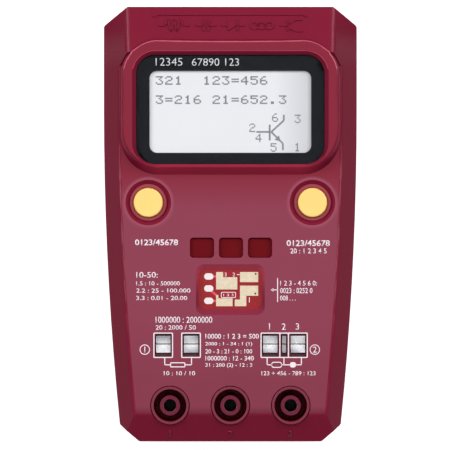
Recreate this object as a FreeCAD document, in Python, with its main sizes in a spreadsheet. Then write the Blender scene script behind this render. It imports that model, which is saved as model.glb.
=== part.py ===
"""Hand-held electronic component tester: a parametric FreeCAD document, one object for each physical piece.

Frame: millimetres, +Z out of the front face, +Y towards the display end, +X to the right. The origin is
the middle of the flat back, so the tester lies on its back at z = 0.
"""
import FreeCAD, Part
import math
import os
import Sketcher

DIMENSIONS = [
    # the moulded case, seen from the front
    ("half_width", 40.05, "half the width of the case at the display end"),
    ("half_length", 68.7, "half the length of the case"),
    ("straight_from", 36.1, "y above which the sides run straight"),
    ("side_radius", 978, "radius of the long taper of each side"),
    ("foot_half_width", 34.42, "half width that the taper reaches at the jack end"),
    ("foot_side_x", 35.05, "half width where the lower corners are cut"),
    ("foot_cut_x", 28.85, "half width left on the lower end"),
    ("foot_cut_rise", 5.5, "height of the lower corner cuts"),
    ("head_cut_x", 32.5, "half width left on the upper end"),
    ("head_cut_drop", 5.9, "height of the upper corner cuts"),
    # the levels of the case
    ("back_chamfer", 2.5, "chamfer round the back"),
    ("part_level", 15, "where the two shells meet"),
    ("shoulder_level", 24.5, "top of the upright side walls"),
    ("deck_level", 29.5, "the face that carries the buttons and ports"),
    ("bezel_level", 33.5, "top of the raised display surround"),
    ("seam_gap", 0.4, "width and depth of the shadow line where the shells meet"),
    ("wall", 2.2, "wall of both shells"),
    ("deck_wall", 2.4, "thickness of the deck"),
    ("edge_round", 1.5, "rounding of the long edges of the face"),
    ("corner_round", 1.2, "rounding of the cut corners"),
    ("neck_round", 3.0, "rounding of the edges beside the sloping top zone"),
    # the deck between the side bevels
    ("deck_foot_y", -60, "lower edge of the deck"),
    ("neck_start_y", 50, "where the face starts to narrow towards the top"),
    ("neck_end_y", 54.5, "where the face has narrowed"),
    ("neck_half_width", 32.4, "half width of the sloping top zone"),
    # the display surround
    ("bezel_half_width", 34.2, "half width of the display surround"),
    ("bezel_low_y", 18.2, "lower edge of the surround's top"),
    ("bezel_high_y", 58.35, "crest of the surround"),
    ("bezel_corner", 11.5, "corner radius of the surround"),
    ("bezel_skirt", 0.65, "how far its sides lean out"),
    ("bezel_front_skirt", 3.0, "how far its lower wall leans out"),
    ("bezel_round", 0.9, "rounding of the surround's upper edge"),
    ("crest_radius", 978, "hollow curve of the crest"),
    ("brow_level", 33.3, "where the sloping top zone starts"),
    ("skirt_root", 1.0, "how deep the raised blocks reach into the deck"),
    # the display window
    ("window_half_width", 29.7, "half width of the window"),
    ("window_low_y", 19.0, "lower edge of the window"),
    ("window_high_y", 53.5, "upper edge of the window"),
    ("window_corner", 6.0, "corner radius of the window"),
    ("window_sink", 0.9, "how deep the window lies below the surround"),
    ("window_splay", 1.2, "how far the rim round the window opens out"),
    ("seat_level", 31.2, "ledge that carries the window"),
    ("window_tape_thick", 0.1, "double-sided tape under the window"),
    ("window_ink_thick", 0.1, "printed black border"),
    ("window_thick", 1.1, "clear window"),
    ("view_half_width", 25.45, "half width of the clear field"),
    ("view_low_y", 22.6, "lower edge of the clear field"),
    ("view_high_y", 48.4, "upper edge of the clear field"),
    ("view_corner", 2.4, "corner radius of the clear field"),
    # buttons
    ("button_x", 25.9, "x of each button"),
    ("button_y", 6.95, "y of both buttons"),
    ("button_radius", 4.7, "radius of a button cap"),
    ("button_hole", 4.88, "radius of the hole for a cap"),
    ("button_flange", 5.5, "radius of the flange that keeps a cap in"),
    ("button_top", 30.3, "top of a cap"),
    ("button_round", 0.6, "rounding of a cap's edge"),
    ("lip_radius", 5.65, "outside of the lip round a button"),
    ("dish_radius", 7.2, "outside of the dished ring round a button"),
    ("dish_depth", 1.1, "depth of the dished ring"),
    ("button_travel", 0.5, "how far a button moves"),
    # recesses, test field and ports
    ("square_pitch", 9.15, "spacing of the three square recesses"),
    ("square_x", 0.2, "x of the middle square recess"),
    ("square_y", -7.3, "y of the square recesses"),
    ("square_width", 7.65, "width of a square recess"),
    ("square_height", 6.4, "height of a square recess"),
    ("square_depth", 1.2, "depth of a square recess"),
    ("field_half_width", 9.97, "half width of the surface-mount test field"),
    ("field_low_y", -26.6, "lower edge of the test field"),
    ("field_high_y", -14.4, "upper edge of the test field"),
    ("field_splay", 0.9, "how far the field's side walls open out"),
    ("field_high_splay", 1.9, "how far its upper and lower walls open out"),
    ("field_board_top", 27.5, "level of the test pads' board"),
    ("port_low_y", -41.7, "lower edge of the port windows"),
    ("port_high_y", -34.5, "upper edge of the port windows"),
    ("port_line_y", -37.75, "y of the line where the leaves of a pair meet"),
    ("port_reach", 2.65, "how far the lip of a leaf stands from that line"),
    ("port_1_left", -23.8, "left edge of port 1"),
    ("port_1_right", -9.78, "right edge of port 1"),
    ("port_2_left", 10.0, "left edge of port 2"),
    ("port_2_right", 23.95, "right edge of port 2"),
    ("slot_width", 5.25, "width of a wide contact slot"),
    ("middle_slot_left", 16.0, "left edge of the narrow slot"),
    ("middle_slot_width", 1.95, "width of the narrow slot"),
    # jacks
    ("jack_pitch", 19.05, "spacing of the 4 mm jacks"),
    ("jack_y", -57.07, "y of the jacks"),
    ("jack_radius", 6.0, "outside of a jack's collar"),
    ("jack_hole", 6.25, "radius of the hole for a jack"),
    ("shroud_radius", 5.16, "outside of the gap for a shrouded plug"),
    ("shroud_core", 3.15, "inside of that gap"),
    ("shroud_depth", 18, "depth of that gap"),
    ("jack_bore", 2.0, "radius of the bore for a 4 mm plug"),
    ("jack_sleeve", 2.35, "outside of the metal sleeve"),
    ("jack_board_top", 8.0, "level of the board that carries the jacks"),
    # circuit boards
    ("board_top", 21.8, "upper face of the main board"),
    ("board_thick", 1.6, "thickness of the main board"),
    ("board_half_width", 26.5, "half width of the main board below the display"),
    ("board_head_half", 31.2, "half width of the main board behind the display"),
    ("board_low_y", -49.2, "lower edge of the main board"),
    ("board_high_y", 54.6, "upper edge of the main board"),
    # fasteners
    ("head_screw_x", 33.2, "x of the case screws at the display end"),
    ("head_screw_y", 58.4, "y of the case screws at the display end"),
    ("foot_screw_x", 30.5, "x of the case screws at the jack end"),
    ("foot_screw_y", -40, "y of the case screws at the jack end"),
    ("case_screw_radius", 1.45, "radius of a case screw"),
    ("case_screw_head", 2.6, "radius of its head"),
    ("case_pilot", 1.5, "radius of its pilot hole"),
    ("post_radius", 3.2, "radius of a screw post"),
    ("counterbore_depth", 5, "depth of the counterbores in the back"),
    ("board_screw_x", 16, "x of the two upper board screws"),
    ("board_screw_y", 3, "y of the two upper board screws"),
    ("board_screw_low_y", -46, "y of the lower board screw"),
    ("board_screw_radius", 1.0, "radius of a board screw"),
    # battery and its door
    ("battery_length", 46.4, "length of the 9 V battery without its snaps"),
    ("battery_width", 26.5, "width of the battery"),
    ("battery_height", 17.5, "thickness of the battery"),
    ("battery_left_x", -26.4, "closed end of the battery"),
    ("battery_y", 34.5, "middle of the battery"),
    ("battery_low_z", 1.9, "underside of the battery"),
    ("door_half_width", 33.2, "half width of the battery door"),
    ("door_half_height", 15.9, "half height of the battery door"),
    ("door_thick", 1.5, "thickness of the door"),
    ("door_sink", 0.15, "how far the door lies inside the back"),
    ("door_gap", 0.3, "gap round the door"),
    ("door_screw_x", 29.9, "x of the two door screws"),
    ("door_screw_radius", 1.0, "radius of a door screw"),
    ("bay_half_width", 26.9, "half width of the opening for the battery"),
    ("bay_half_height", 13.95, "half height of that opening"),
    ("label_half_width", 22, "half width of the label on the back"),
    ("label_low_y", -34, "lower edge of that label"),
    ("label_high_y", -10, "upper edge of that label"),
]


class Size:
    """A length taken from the sheet, with the expression that binds a property to it."""

    def __init__(self, value, text):
        self.value = float(value)
        self.text = text

    def __add__(self, other):
        other = as_size(other)
        return Size(self.value + other.value, f"({self.text} + {other.text})")

    def __sub__(self, other):
        other = as_size(other)
        return Size(self.value - other.value, f"({self.text} - {other.text})")

    def __mul__(self, other):
        other = as_size(other)
        return Size(self.value * other.value, f"({self.text} * {other.text})")

    def __truediv__(self, other):
        other = as_size(other)
        return Size(self.value / other.value, f"({self.text} / {other.text})")

    def __neg__(self):
        return as_size(0) - self

    def __radd__(self, other):
        return as_size(other) + self

    def __rsub__(self, other):
        return as_size(other) - self

    def __rmul__(self, other):
        return as_size(other) * self


def as_size(number):
    return number if isinstance(number, Size) else Size(number, f"({number})")


class Sheet:
    """The driving dimensions: one row each, with an alias that expressions use."""

    def __init__(self, document, rows):
        self.cells = document.addObject("Spreadsheet::Sheet", "dims")
        for row, (alias, number, note) in enumerate(rows, start=1):
            self.cells.set(f"A{row}", note)
            self.cells.set(f"B{row}", str(number))
            self.cells.setAlias(f"B{row}", alias)
            setattr(self, alias, Size(number, f"dims.{alias}"))


doc = FreeCAD.newDocument("component_tester")
dim = Sheet(doc, DIMENSIONS)
doc.recompute()
nodes = {}


# ---- small tools for building features ----

def bind(thing, prop, size):
    thing.setExpression(prop, as_size(size).text)


def move_to(thing, x=0, y=0, z=0):
    for axis, size in zip("xyz", (x, y, z)):
        bind(thing, f"Placement.Base.{axis}", size)


def keep(label, thing):
    """Name a finished piece; its shape is exported under this name."""
    thing.Label = label
    nodes[label] = thing
    return thing


def new_body(label):
    return keep(label, doc.addObject("PartDesign::Body", label))


def new_sketch(body, name, level=0, role="XY_Plane", shift_x=0, shift_y=0):
    """A sketch on one of the body's own planes, raised along the plane's normal by level."""
    sketch = body.newObject("Sketcher::SketchObject", name)
    plane = next(feature for feature in body.Origin.OriginFeatures if feature.Role == role)
    sketch.AttachmentSupport = [(plane, "")]
    sketch.MapMode = "FlatFace"
    for axis, size in zip("xyz", (shift_x, shift_y, level)):
        bind(sketch, f"AttachmentOffset.Base.{axis}", size)
    return sketch


def constrain(sketch, kind, size, *where):
    number = sketch.addConstraint(Sketcher.Constraint(kind, *where, as_size(size).value))
    bind(sketch, f"Constraints[{number}]", size)


def pin_point(sketch, geometry, point, x, y):
    """Hold a point at (x, y) from the sketch's origin."""
    constrain(sketch, "DistanceX", x, -1, 1, geometry, point)
    constrain(sketch, "DistanceY", y, -1, 1, geometry, point)


def draw_circle(sketch, x, y, radius):
    centre = FreeCAD.Vector(as_size(x).value, as_size(y).value, 0)
    circle = Part.Circle(centre, FreeCAD.Vector(0, 0, 1), as_size(radius).value)
    number = sketch.addGeometry(circle, False)
    pin_point(sketch, number, 3, x, y)
    constrain(sketch, "Radius", radius, number)


def arc_between(start, end, radius, bulges):
    """The minor arc between two points of an anticlockwise outline."""
    chord = end - start
    left = FreeCAD.Vector(-chord.y, chord.x, 0).normalize()
    rise = math.sqrt(radius ** 2 - (chord.Length / 2) ** 2)
    side = 1 if bulges else -1
    centre = (start + end) * 0.5 + left * (rise * side)
    return Part.Arc(start, centre - left * (radius * side), end)


def draw_outline(sketch, points):
    """A closed outline, anticlockwise. A point (x, y, "arc" or "hollow", radius) starts an arc."""
    corners = [FreeCAD.Vector(as_size(p[0]).value, as_size(p[1]).value, 0) for p in points]
    ends = []
    for index, point in enumerate(points):
        start, end = corners[index], corners[(index + 1) % len(points)]
        if len(point) == 2:
            number = sketch.addGeometry(Part.LineSegment(start, end), False)
            ends.append((number, 1, 2))
            continue
        bulges = point[2] == "arc"
        radius = as_size(point[3])
        number = sketch.addGeometry(arc_between(start, end, radius.value, bulges), False)
        ends.append((number, 1, 2) if bulges else (number, 2, 1))
    for here, after in zip(ends, ends[1:] + ends[:1]):
        sketch.addConstraint(Sketcher.Constraint("Coincident", here[0], here[2], after[0], after[1]))
    for here, point in zip(ends, points):
        pin_point(sketch, here[0], here[1], point[0], point[1])
        if len(point) > 2:
            constrain(sketch, "Radius", point[3], here[0])


def rectangle(left, right, low, high):
    return [(left, low), (right, low), (right, high), (left, high)]


def rounded_rectangle(left, right, low, high, radius):
    return [
        (left + radius, low), (right - radius, low, "arc", radius),
        (right, low + radius), (right, high - radius, "arc", radius),
        (right - radius, high), (left + radius, high, "arc", radius),
        (left, high - radius), (left, low + radius, "arc", radius),
    ]


def mirror_outline(right_half):
    """Complete an outline from its right half, listed upwards from the lower edge."""
    left_half = []
    for index in range(len(right_half) - 1, -1, -1):
        x, y = right_half[index][:2]
        before = right_half[index - 1] if index else ()
        left_half.append((-x, y) + tuple(before[2:]))
    return list(right_half) + left_half


def pad(body, sketch, height, name):
    feature = body.newObject("PartDesign::Pad", name)
    feature.Profile = sketch
    bind(feature, "Length", height)
    return feature


def pad_both_ways(body, sketch, width, name):
    feature = pad(body, sketch, width, name)
    feature.Midplane = True
    return feature


def pocket(body, sketch, depth, name, upwards=False):
    """Cut from the sketch downwards, or upwards."""
    feature = body.newObject("PartDesign::Pocket", name)
    feature.Profile = sketch
    feature.Reversed = upwards
    bind(feature, "Length", depth)
    return feature


def pocket_through(body, sketch, name):
    feature = body.newObject("PartDesign::Pocket", name)
    feature.Profile = sketch
    feature.Type = "ThroughAll"
    feature.Midplane = True
    return feature


def loft(body, kind, sketches, name):
    """A ruled loft through the sketches; kind is Additive or Subtractive."""
    feature = body.newObject(f"PartDesign::{kind}Loft", name)
    feature.Profile = sketches[0]
    feature.Sections = sketches[1:]
    feature.Ruled = True
    return feature


def edge_feature(body, kind, prop, base, size, name, chosen):
    """Work on the edges of base that the function chosen picks."""
    doc.recompute()
    edges = [f"Edge{n}" for n, edge in enumerate(base.Shape.Edges, start=1) if chosen(edge)]
    feature = body.newObject(f"PartDesign::{kind}", name)
    feature.Base = (base, edges)
    bind(feature, prop, size)
    return feature


def fillet(body, base, radius, name, chosen):
    return edge_feature(body, "Fillet", "Radius", base, radius, name, chosen)


def chamfer(body, base, size, name, chosen):
    """Bevel the chosen edges at 45 degrees."""
    return edge_feature(body, "Chamfer", "Size", base, size, name, chosen)


def lies_at_level(edge, level):
    box = edge.BoundBox
    return abs(box.ZMin - level.value) < 0.01 and abs(box.ZMax - level.value) < 0.01


def is_upright(edge):
    box = edge.BoundBox
    return box.XLength < 0.01 and box.YLength < 0.01 and box.ZLength > 0.5


def block(name, x, y, z):
    """A box between pairs of sizes along each axis."""
    box = doc.addObject("Part::Box", name)
    for prop, span in (("Length", x), ("Width", y), ("Height", z)):
        bind(box, prop, as_size(span[1]) - as_size(span[0]))
    move_to(box, x[0], y[0], z[0])
    return box


def rod(name, radius, x, y, z):
    """An upright cylinder between the pair of levels z."""
    cylinder = doc.addObject("Part::Cylinder", name)
    bind(cylinder, "Radius", radius)
    bind(cylinder, "Height", as_size(z[1]) - as_size(z[0]))
    move_to(cylinder, x, y, z[0])
    return cylinder


def fuse(name, *pieces):
    joined = doc.addObject("Part::MultiFuse", name)
    joined.Shapes = list(pieces)
    return joined


def cut(name, base, tool):
    result = doc.addObject("Part::Cut", name)
    result.Base = base
    result.Tool = tool
    return result


def group(name, *pieces):
    """Separate solids that share one node."""
    together = doc.addObject("Part::Compound", name)
    together.Links = list(pieces)
    return together


# ---- outlines that several pieces share ----

def case_outline(side, head, foot):
    """The case seen from the front, drawn in by side, head and foot."""
    low = foot - dim.half_length
    high = dim.half_length - head
    return mirror_outline([
        (dim.foot_cut_x - 0.38 * side, low),
        (dim.foot_side_x - side, low + dim.foot_cut_rise - 0.25 * foot, "arc", dim.side_radius),
        (dim.half_width - side, dim.straight_from),
        (dim.half_width - side, high - dim.head_cut_drop + 0.5 * head),
        (dim.head_cut_x - 0.35 * side, high),
    ])


def bezel_outline(skirt, front_skirt):
    """The display surround; its crest is slightly hollow."""
    half = dim.bezel_half_width + skirt
    low = dim.bezel_low_y - front_skirt
    high = dim.bezel_high_y + skirt
    radius = dim.bezel_corner + skirt
    right = [
        (half - radius, low, "arc", radius),
        (half, low + radius),
        (half, high - radius, "arc", radius),
        (half - radius, high, "hollow", dim.crest_radius),
    ]
    left = [
        (-(half - radius), high, "arc", radius),
        (-half, high - radius),
        (-half, low + radius, "arc", radius),
        (-(half - radius), low),
    ]
    return right + left


def window_outline(spread=0, front_spread=0):
    half = dim.window_half_width + spread
    return rounded_rectangle(-half, half, dim.window_low_y - front_spread,
                             dim.window_high_y + spread, dim.window_corner + spread)


def view_outline():
    return rounded_rectangle(-dim.view_half_width, dim.view_half_width, dim.view_low_y,
                             dim.view_high_y, dim.view_corner)


SQUARES = [dim.square_x - dim.square_pitch, dim.square_x, dim.square_x + dim.square_pitch]
JACKS = [-dim.jack_pitch, 0, dim.jack_pitch]
CASE_SCREWS = [
    (dim.head_screw_x, dim.head_screw_y), (-dim.head_screw_x, dim.head_screw_y),
    (dim.foot_screw_x, dim.foot_screw_y), (-dim.foot_screw_x, dim.foot_screw_y),
]
BOARD_SCREWS = [
    (dim.board_screw_x, dim.board_screw_y), (-dim.board_screw_x, dim.board_screw_y),
    (0, dim.board_screw_low_y),
]
DOOR_SCREWS = [(dim.door_screw_x, dim.battery_y), (-dim.door_screw_x, dim.battery_y)]
PORT_1_SLOTS = [
    (dim.port_1_left, dim.slot_width),
    (dim.port_1_right - dim.slot_width, dim.slot_width),
]
PORT_2_SLOTS = [
    (dim.port_2_left, dim.slot_width),
    (dim.middle_slot_left, dim.middle_slot_width),
    (dim.port_2_right - dim.slot_width, dim.slot_width),
]
CEILING = dim.deck_level - dim.deck_wall
BOARD_BOTTOM = dim.board_top - dim.board_thick


# ---- the two shells ----

def front_hull(body):
    """Upright sides with 45 degree bevels up to the deck, and the slope at the jack end."""
    plan = new_sketch(body, "plan", dim.part_level)
    draw_outline(plan, mirror_outline([
        (dim.foot_half_width, -dim.half_length, "arc", dim.side_radius),
        (dim.half_width, dim.straight_from),
        (dim.half_width, dim.half_length),
    ]))
    hull = pad(body, plan, dim.deck_level - dim.part_level, "hull")

    def is_deck_side(edge):
        return lies_at_level(edge, dim.deck_level) and edge.BoundBox.YLength > 1

    chamfer(body, hull, dim.deck_level - dim.shoulder_level, "side_bevels", is_deck_side)
    slope = new_sketch(body, "foot_slope", role="YZ_Plane")
    draw_outline(slope, [
        (-dim.half_length, dim.shoulder_level), (dim.deck_foot_y, dim.deck_level),
        (dim.deck_foot_y, dim.deck_level + 1), (-dim.half_length - 1, dim.deck_level + 1),
        (-dim.half_length - 1, dim.shoulder_level),
    ])
    pocket_through(body, slope, "foot_slope_cut")


def front_head(body):
    """The head: its bevels narrow the face to the top zone, which slopes from the brow to the end."""
    out = dim.half_width + 2
    step = new_sketch(body, "head_step", dim.shoulder_level)
    draw_outline(step, rectangle(-out, out, dim.neck_start_y, dim.half_length + 2))
    pocket(body, step, dim.bezel_level - dim.shoulder_level, "head_step_cut", upwards=True)
    bevel = dim.deck_level - dim.shoulder_level
    sections = []
    for name, y, half, top in (
            ("end", dim.half_length, dim.neck_half_width, dim.deck_level),
            ("brow", dim.neck_end_y, dim.neck_half_width, dim.brow_level),
            ("root", dim.neck_start_y, dim.half_width - bevel, dim.deck_level)):
        section = new_sketch(body, f"head_{name}", -y, role="XZ_Plane")
        draw_outline(section, [
            (-dim.half_width, dim.shoulder_level), (dim.half_width, dim.shoulder_level),
            (half, top), (-half, top),
        ])
        sections.append(section)
    loft(body, "Additive", sections, "head_block")


def front_bezel(body):
    """The raised surround of the display."""
    foot = new_sketch(body, "bezel_foot", dim.deck_level - dim.skirt_root)
    draw_outline(foot, bezel_outline(dim.bezel_skirt, dim.bezel_front_skirt))
    top = new_sketch(body, "bezel_top", dim.bezel_level)
    draw_outline(top, bezel_outline(0, 0))
    bezel = loft(body, "Additive", [foot, top], "bezel")
    fillet(body, bezel, dim.bezel_round, "soft_crest",
           lambda edge: lies_at_level(edge, dim.bezel_level))


def cut_corners(body, name):
    """Cut the four corners straight down, through everything."""
    sketch = new_sketch(body, name, dim.part_level)
    out = dim.half_width + 5
    for side in (-1, 1):
        head = [(side * dim.head_cut_x, dim.half_length), (side * out, dim.half_length + 5),
                (side * dim.half_width, dim.half_length - dim.head_cut_drop)]
        foot = [(side * dim.foot_cut_x, -dim.half_length),
                (side * dim.foot_side_x, dim.foot_cut_rise - dim.half_length),
                (side * out, -dim.half_length - 5)]
        for corner in (head, foot):
            draw_outline(sketch, corner if side < 0 else corner[::-1])
    return pocket_through(body, sketch, f"{name}_cut")


def soften_face(body, corners):
    """Round the cut corners, the long edges of the deck and the edges beside the top zone."""
    cut_x, neck = dim.head_cut_x.value, dim.neck_end_y.value

    def is_corner(edge):
        return is_upright(edge) and abs(edge.BoundBox.XMin) > cut_x - 6

    def is_deck_edge(edge):
        return lies_at_level(edge, dim.deck_level) and edge.BoundBox.YMin < dim.neck_start_y.value - 1

    def is_neck_edge(edge):
        box = edge.BoundBox
        return box.YMin > neck - 0.01 and box.XLength < 0.01 and box.ZMax > dim.deck_level.value

    softened = fillet(body, corners, dim.corner_round, "soft_corners", is_corner)
    softened = fillet(body, softened, dim.edge_round, "soft_deck", is_deck_edge)
    fillet(body, softened, dim.neck_round, "soft_neck", is_neck_edge)


def front_seam(body):
    """A shallow step round the lower edge, so that the shells meet in a shadow line."""
    step = new_sketch(body, "seam_step", dim.part_level)
    out = dim.half_width + 3
    draw_outline(step, rectangle(-out, out, -dim.half_length - 3, dim.half_length + 3))
    draw_outline(step, case_outline(dim.seam_gap, dim.seam_gap, dim.seam_gap))
    pocket(body, step, dim.seam_gap, "seam_step_cut", upwards=True)


def front_inside(body):
    """The hollow of the front shell, with the posts that take screws."""
    hollow = new_sketch(body, "hollow", dim.part_level)
    draw_outline(hollow, case_outline(dim.wall, dim.wall, dim.wall))
    low_ceiling = dim.shoulder_level - dim.wall / 2
    pocket(body, hollow, low_ceiling - dim.part_level, "hollow_cut", upwards=True)
    bevel_foot = new_sketch(body, "inner_bevel_foot", low_ceiling)
    draw_outline(bevel_foot, case_outline(dim.wall + 0.1, dim.wall, dim.wall + 0.4))
    bevel_top = new_sketch(body, "inner_bevel_top", CEILING)
    draw_outline(bevel_top, case_outline(dim.wall + 3.5, dim.wall + 0.2, dim.wall + 6.7))
    loft(body, "Subtractive", [bevel_foot, bevel_top], "inner_bevel")
    display_bay = new_sketch(body, "display_bay", CEILING - 0.5)
    draw_outline(display_bay, rounded_rectangle(-dim.window_half_width, dim.window_half_width,
                                                dim.window_low_y + 1.1, dim.window_high_y + 0.7,
                                                2))
    pocket(body, display_bay, dim.seat_level - 1.6 - CEILING + 0.5, "display_bay_cut", upwards=True)

    posts = new_sketch(body, "posts", dim.part_level)
    for x, y in CASE_SCREWS:
        draw_circle(posts, x, y, dim.post_radius)
    pad(body, posts, 11.2, "case_posts")
    bosses = new_sketch(body, "bosses", dim.board_top)
    for x, y in BOARD_SCREWS:
        draw_circle(bosses, x, y, dim.board_screw_radius + 1.5)
    pad(body, bosses, CEILING - dim.board_top + 0.2, "board_bosses")
    pilots = new_sketch(body, "pilots", dim.part_level)
    for x, y in CASE_SCREWS:
        draw_circle(pilots, x, y, dim.case_pilot)
    pocket(body, pilots, 9, "case_pilots", upwards=True)
    board_pilots = new_sketch(body, "board_pilots", dim.board_top)
    for x, y in BOARD_SCREWS:
        draw_circle(board_pilots, x, y, dim.board_screw_radius + 0.05)
    pocket(body, board_pilots, 4.5, "board_pilot_holes", upwards=True)


def front_window(body):
    """The splayed rim, the ledge for the window and the opening for the display."""
    steps = 1.6
    rim_top = new_sketch(body, "rim_top", dim.bezel_level - dim.window_sink + steps * dim.window_sink)
    draw_outline(rim_top, window_outline(steps * dim.window_splay, steps * 0.4))
    rim_foot = new_sketch(body, "rim_foot", dim.bezel_level - dim.window_sink)
    draw_outline(rim_foot, window_outline())
    loft(body, "Subtractive", [rim_top, rim_foot], "window_rim")
    seat = new_sketch(body, "window_seat", dim.seat_level)
    draw_outline(seat, window_outline())
    pocket(body, seat, 3, "window_seat_cut", upwards=True)
    opening = new_sketch(body, "display_opening", CEILING)
    draw_outline(opening, rectangle(-dim.window_half_width + 2.1, dim.window_half_width - 2.1,
                                    dim.window_low_y + 2.5, dim.window_high_y - 2.5))
    pocket(body, opening, 8, "display_opening_cut", upwards=True)


def front_button_places(body):
    """A through hole, a lip and a dished ring for each button."""
    floor = dim.deck_level - dim.dish_depth
    lip_top = dim.deck_level - 0.15
    for side, x in (("left", -dim.button_x), ("right", dim.button_x)):
        ring = new_sketch(body, f"{side}_dish", -dim.button_y, role="XZ_Plane", shift_x=x)
        draw_outline(ring, [
            (dim.button_hole - 1, lip_top), (dim.lip_radius, lip_top), (dim.lip_radius, floor),
            (dim.lip_radius + 0.2, floor), (dim.dish_radius, dim.deck_level),
            (dim.dish_radius, dim.deck_level + 1), (dim.button_hole - 1, dim.deck_level + 1),
        ])
        groove = body.newObject("PartDesign::Groove", f"{side}_dish_groove")
        groove.Profile = ring
        groove.ReferenceAxis = (ring, ["V_Axis"])
        groove.Angle = 360
        hole = new_sketch(body, f"{side}_button_hole", CEILING - 1)
        draw_circle(hole, x, dim.button_y, dim.button_hole)
        pocket(body, hole, dim.deck_wall + 2, f"{side}_button_cut", upwards=True)


def front_recesses(body):
    """Three shallow squares and the sloped recess over the surface-mount test field."""
    for number, x in enumerate(SQUARES, start=1):
        sections = []
        for name, level, spread in (("floor", -dim.square_depth, -0.35), ("mouth", 0.2, 0.06)):
            half_width = dim.square_width / 2 + spread
            half_height = dim.square_height / 2 + spread
            sketch = new_sketch(body, f"square_{number}_{name}", dim.deck_level + level)
            draw_outline(sketch, rounded_rectangle(x - half_width, x + half_width,
                                                   dim.square_y - half_height,
                                                   dim.square_y + half_height, 1.15))
            sections.append(sketch)
        loft(body, "Subtractive", sections, f"square_{number}")

    sections = []
    for name, level, share in (("floor", dim.field_board_top, 0), ("mouth", dim.deck_level + 0.2, 1.1)):
        half = dim.field_half_width + share * dim.field_splay
        rise = share * dim.field_high_splay
        sketch = new_sketch(body, f"field_{name}", level)
        draw_outline(sketch, rounded_rectangle(-half, half, dim.field_low_y - rise,
                                               dim.field_high_y + rise, 2 + share * 0.6))
        sections.append(sketch)
    loft(body, "Subtractive", sections, "field")
    bed = new_sketch(body, "field_bed", CEILING - 0.5)
    draw_outline(bed, rectangle(-dim.field_half_width - 1.6, dim.field_half_width + 1.6,
                                dim.field_low_y - 1.4, dim.field_high_y + 1.4))
    pocket(body, bed, dim.field_board_top - CEILING + 0.6, "field_bed_cut", upwards=True)


def front_openings(body):
    """Windows over the contact slots and round holes for the jacks."""
    windows = new_sketch(body, "port_windows", CEILING - 1)
    for left, width in PORT_1_SLOTS + PORT_2_SLOTS:
        draw_outline(windows, rounded_rectangle(left, left + width, dim.port_low_y,
                                                dim.port_high_y, 0.5))
    pocket(body, windows, dim.deck_wall + 2, "port_windows_cut", upwards=True)
    holes = new_sketch(body, "jack_holes", dim.part_level)
    for x in JACKS:
        draw_circle(holes, x, dim.jack_y, dim.jack_hole)
    pocket(body, holes, dim.bezel_level - dim.part_level, "jack_holes_cut", upwards=True)


def make_front_shell():
    body = new_body("front_shell")
    front_hull(body)
    front_head(body)
    soften_face(body, cut_corners(body, "corners"))
    front_bezel(body)
    front_seam(body)
    front_inside(body)
    front_window(body)
    front_button_places(body)
    front_recesses(body)
    front_openings(body)


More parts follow.
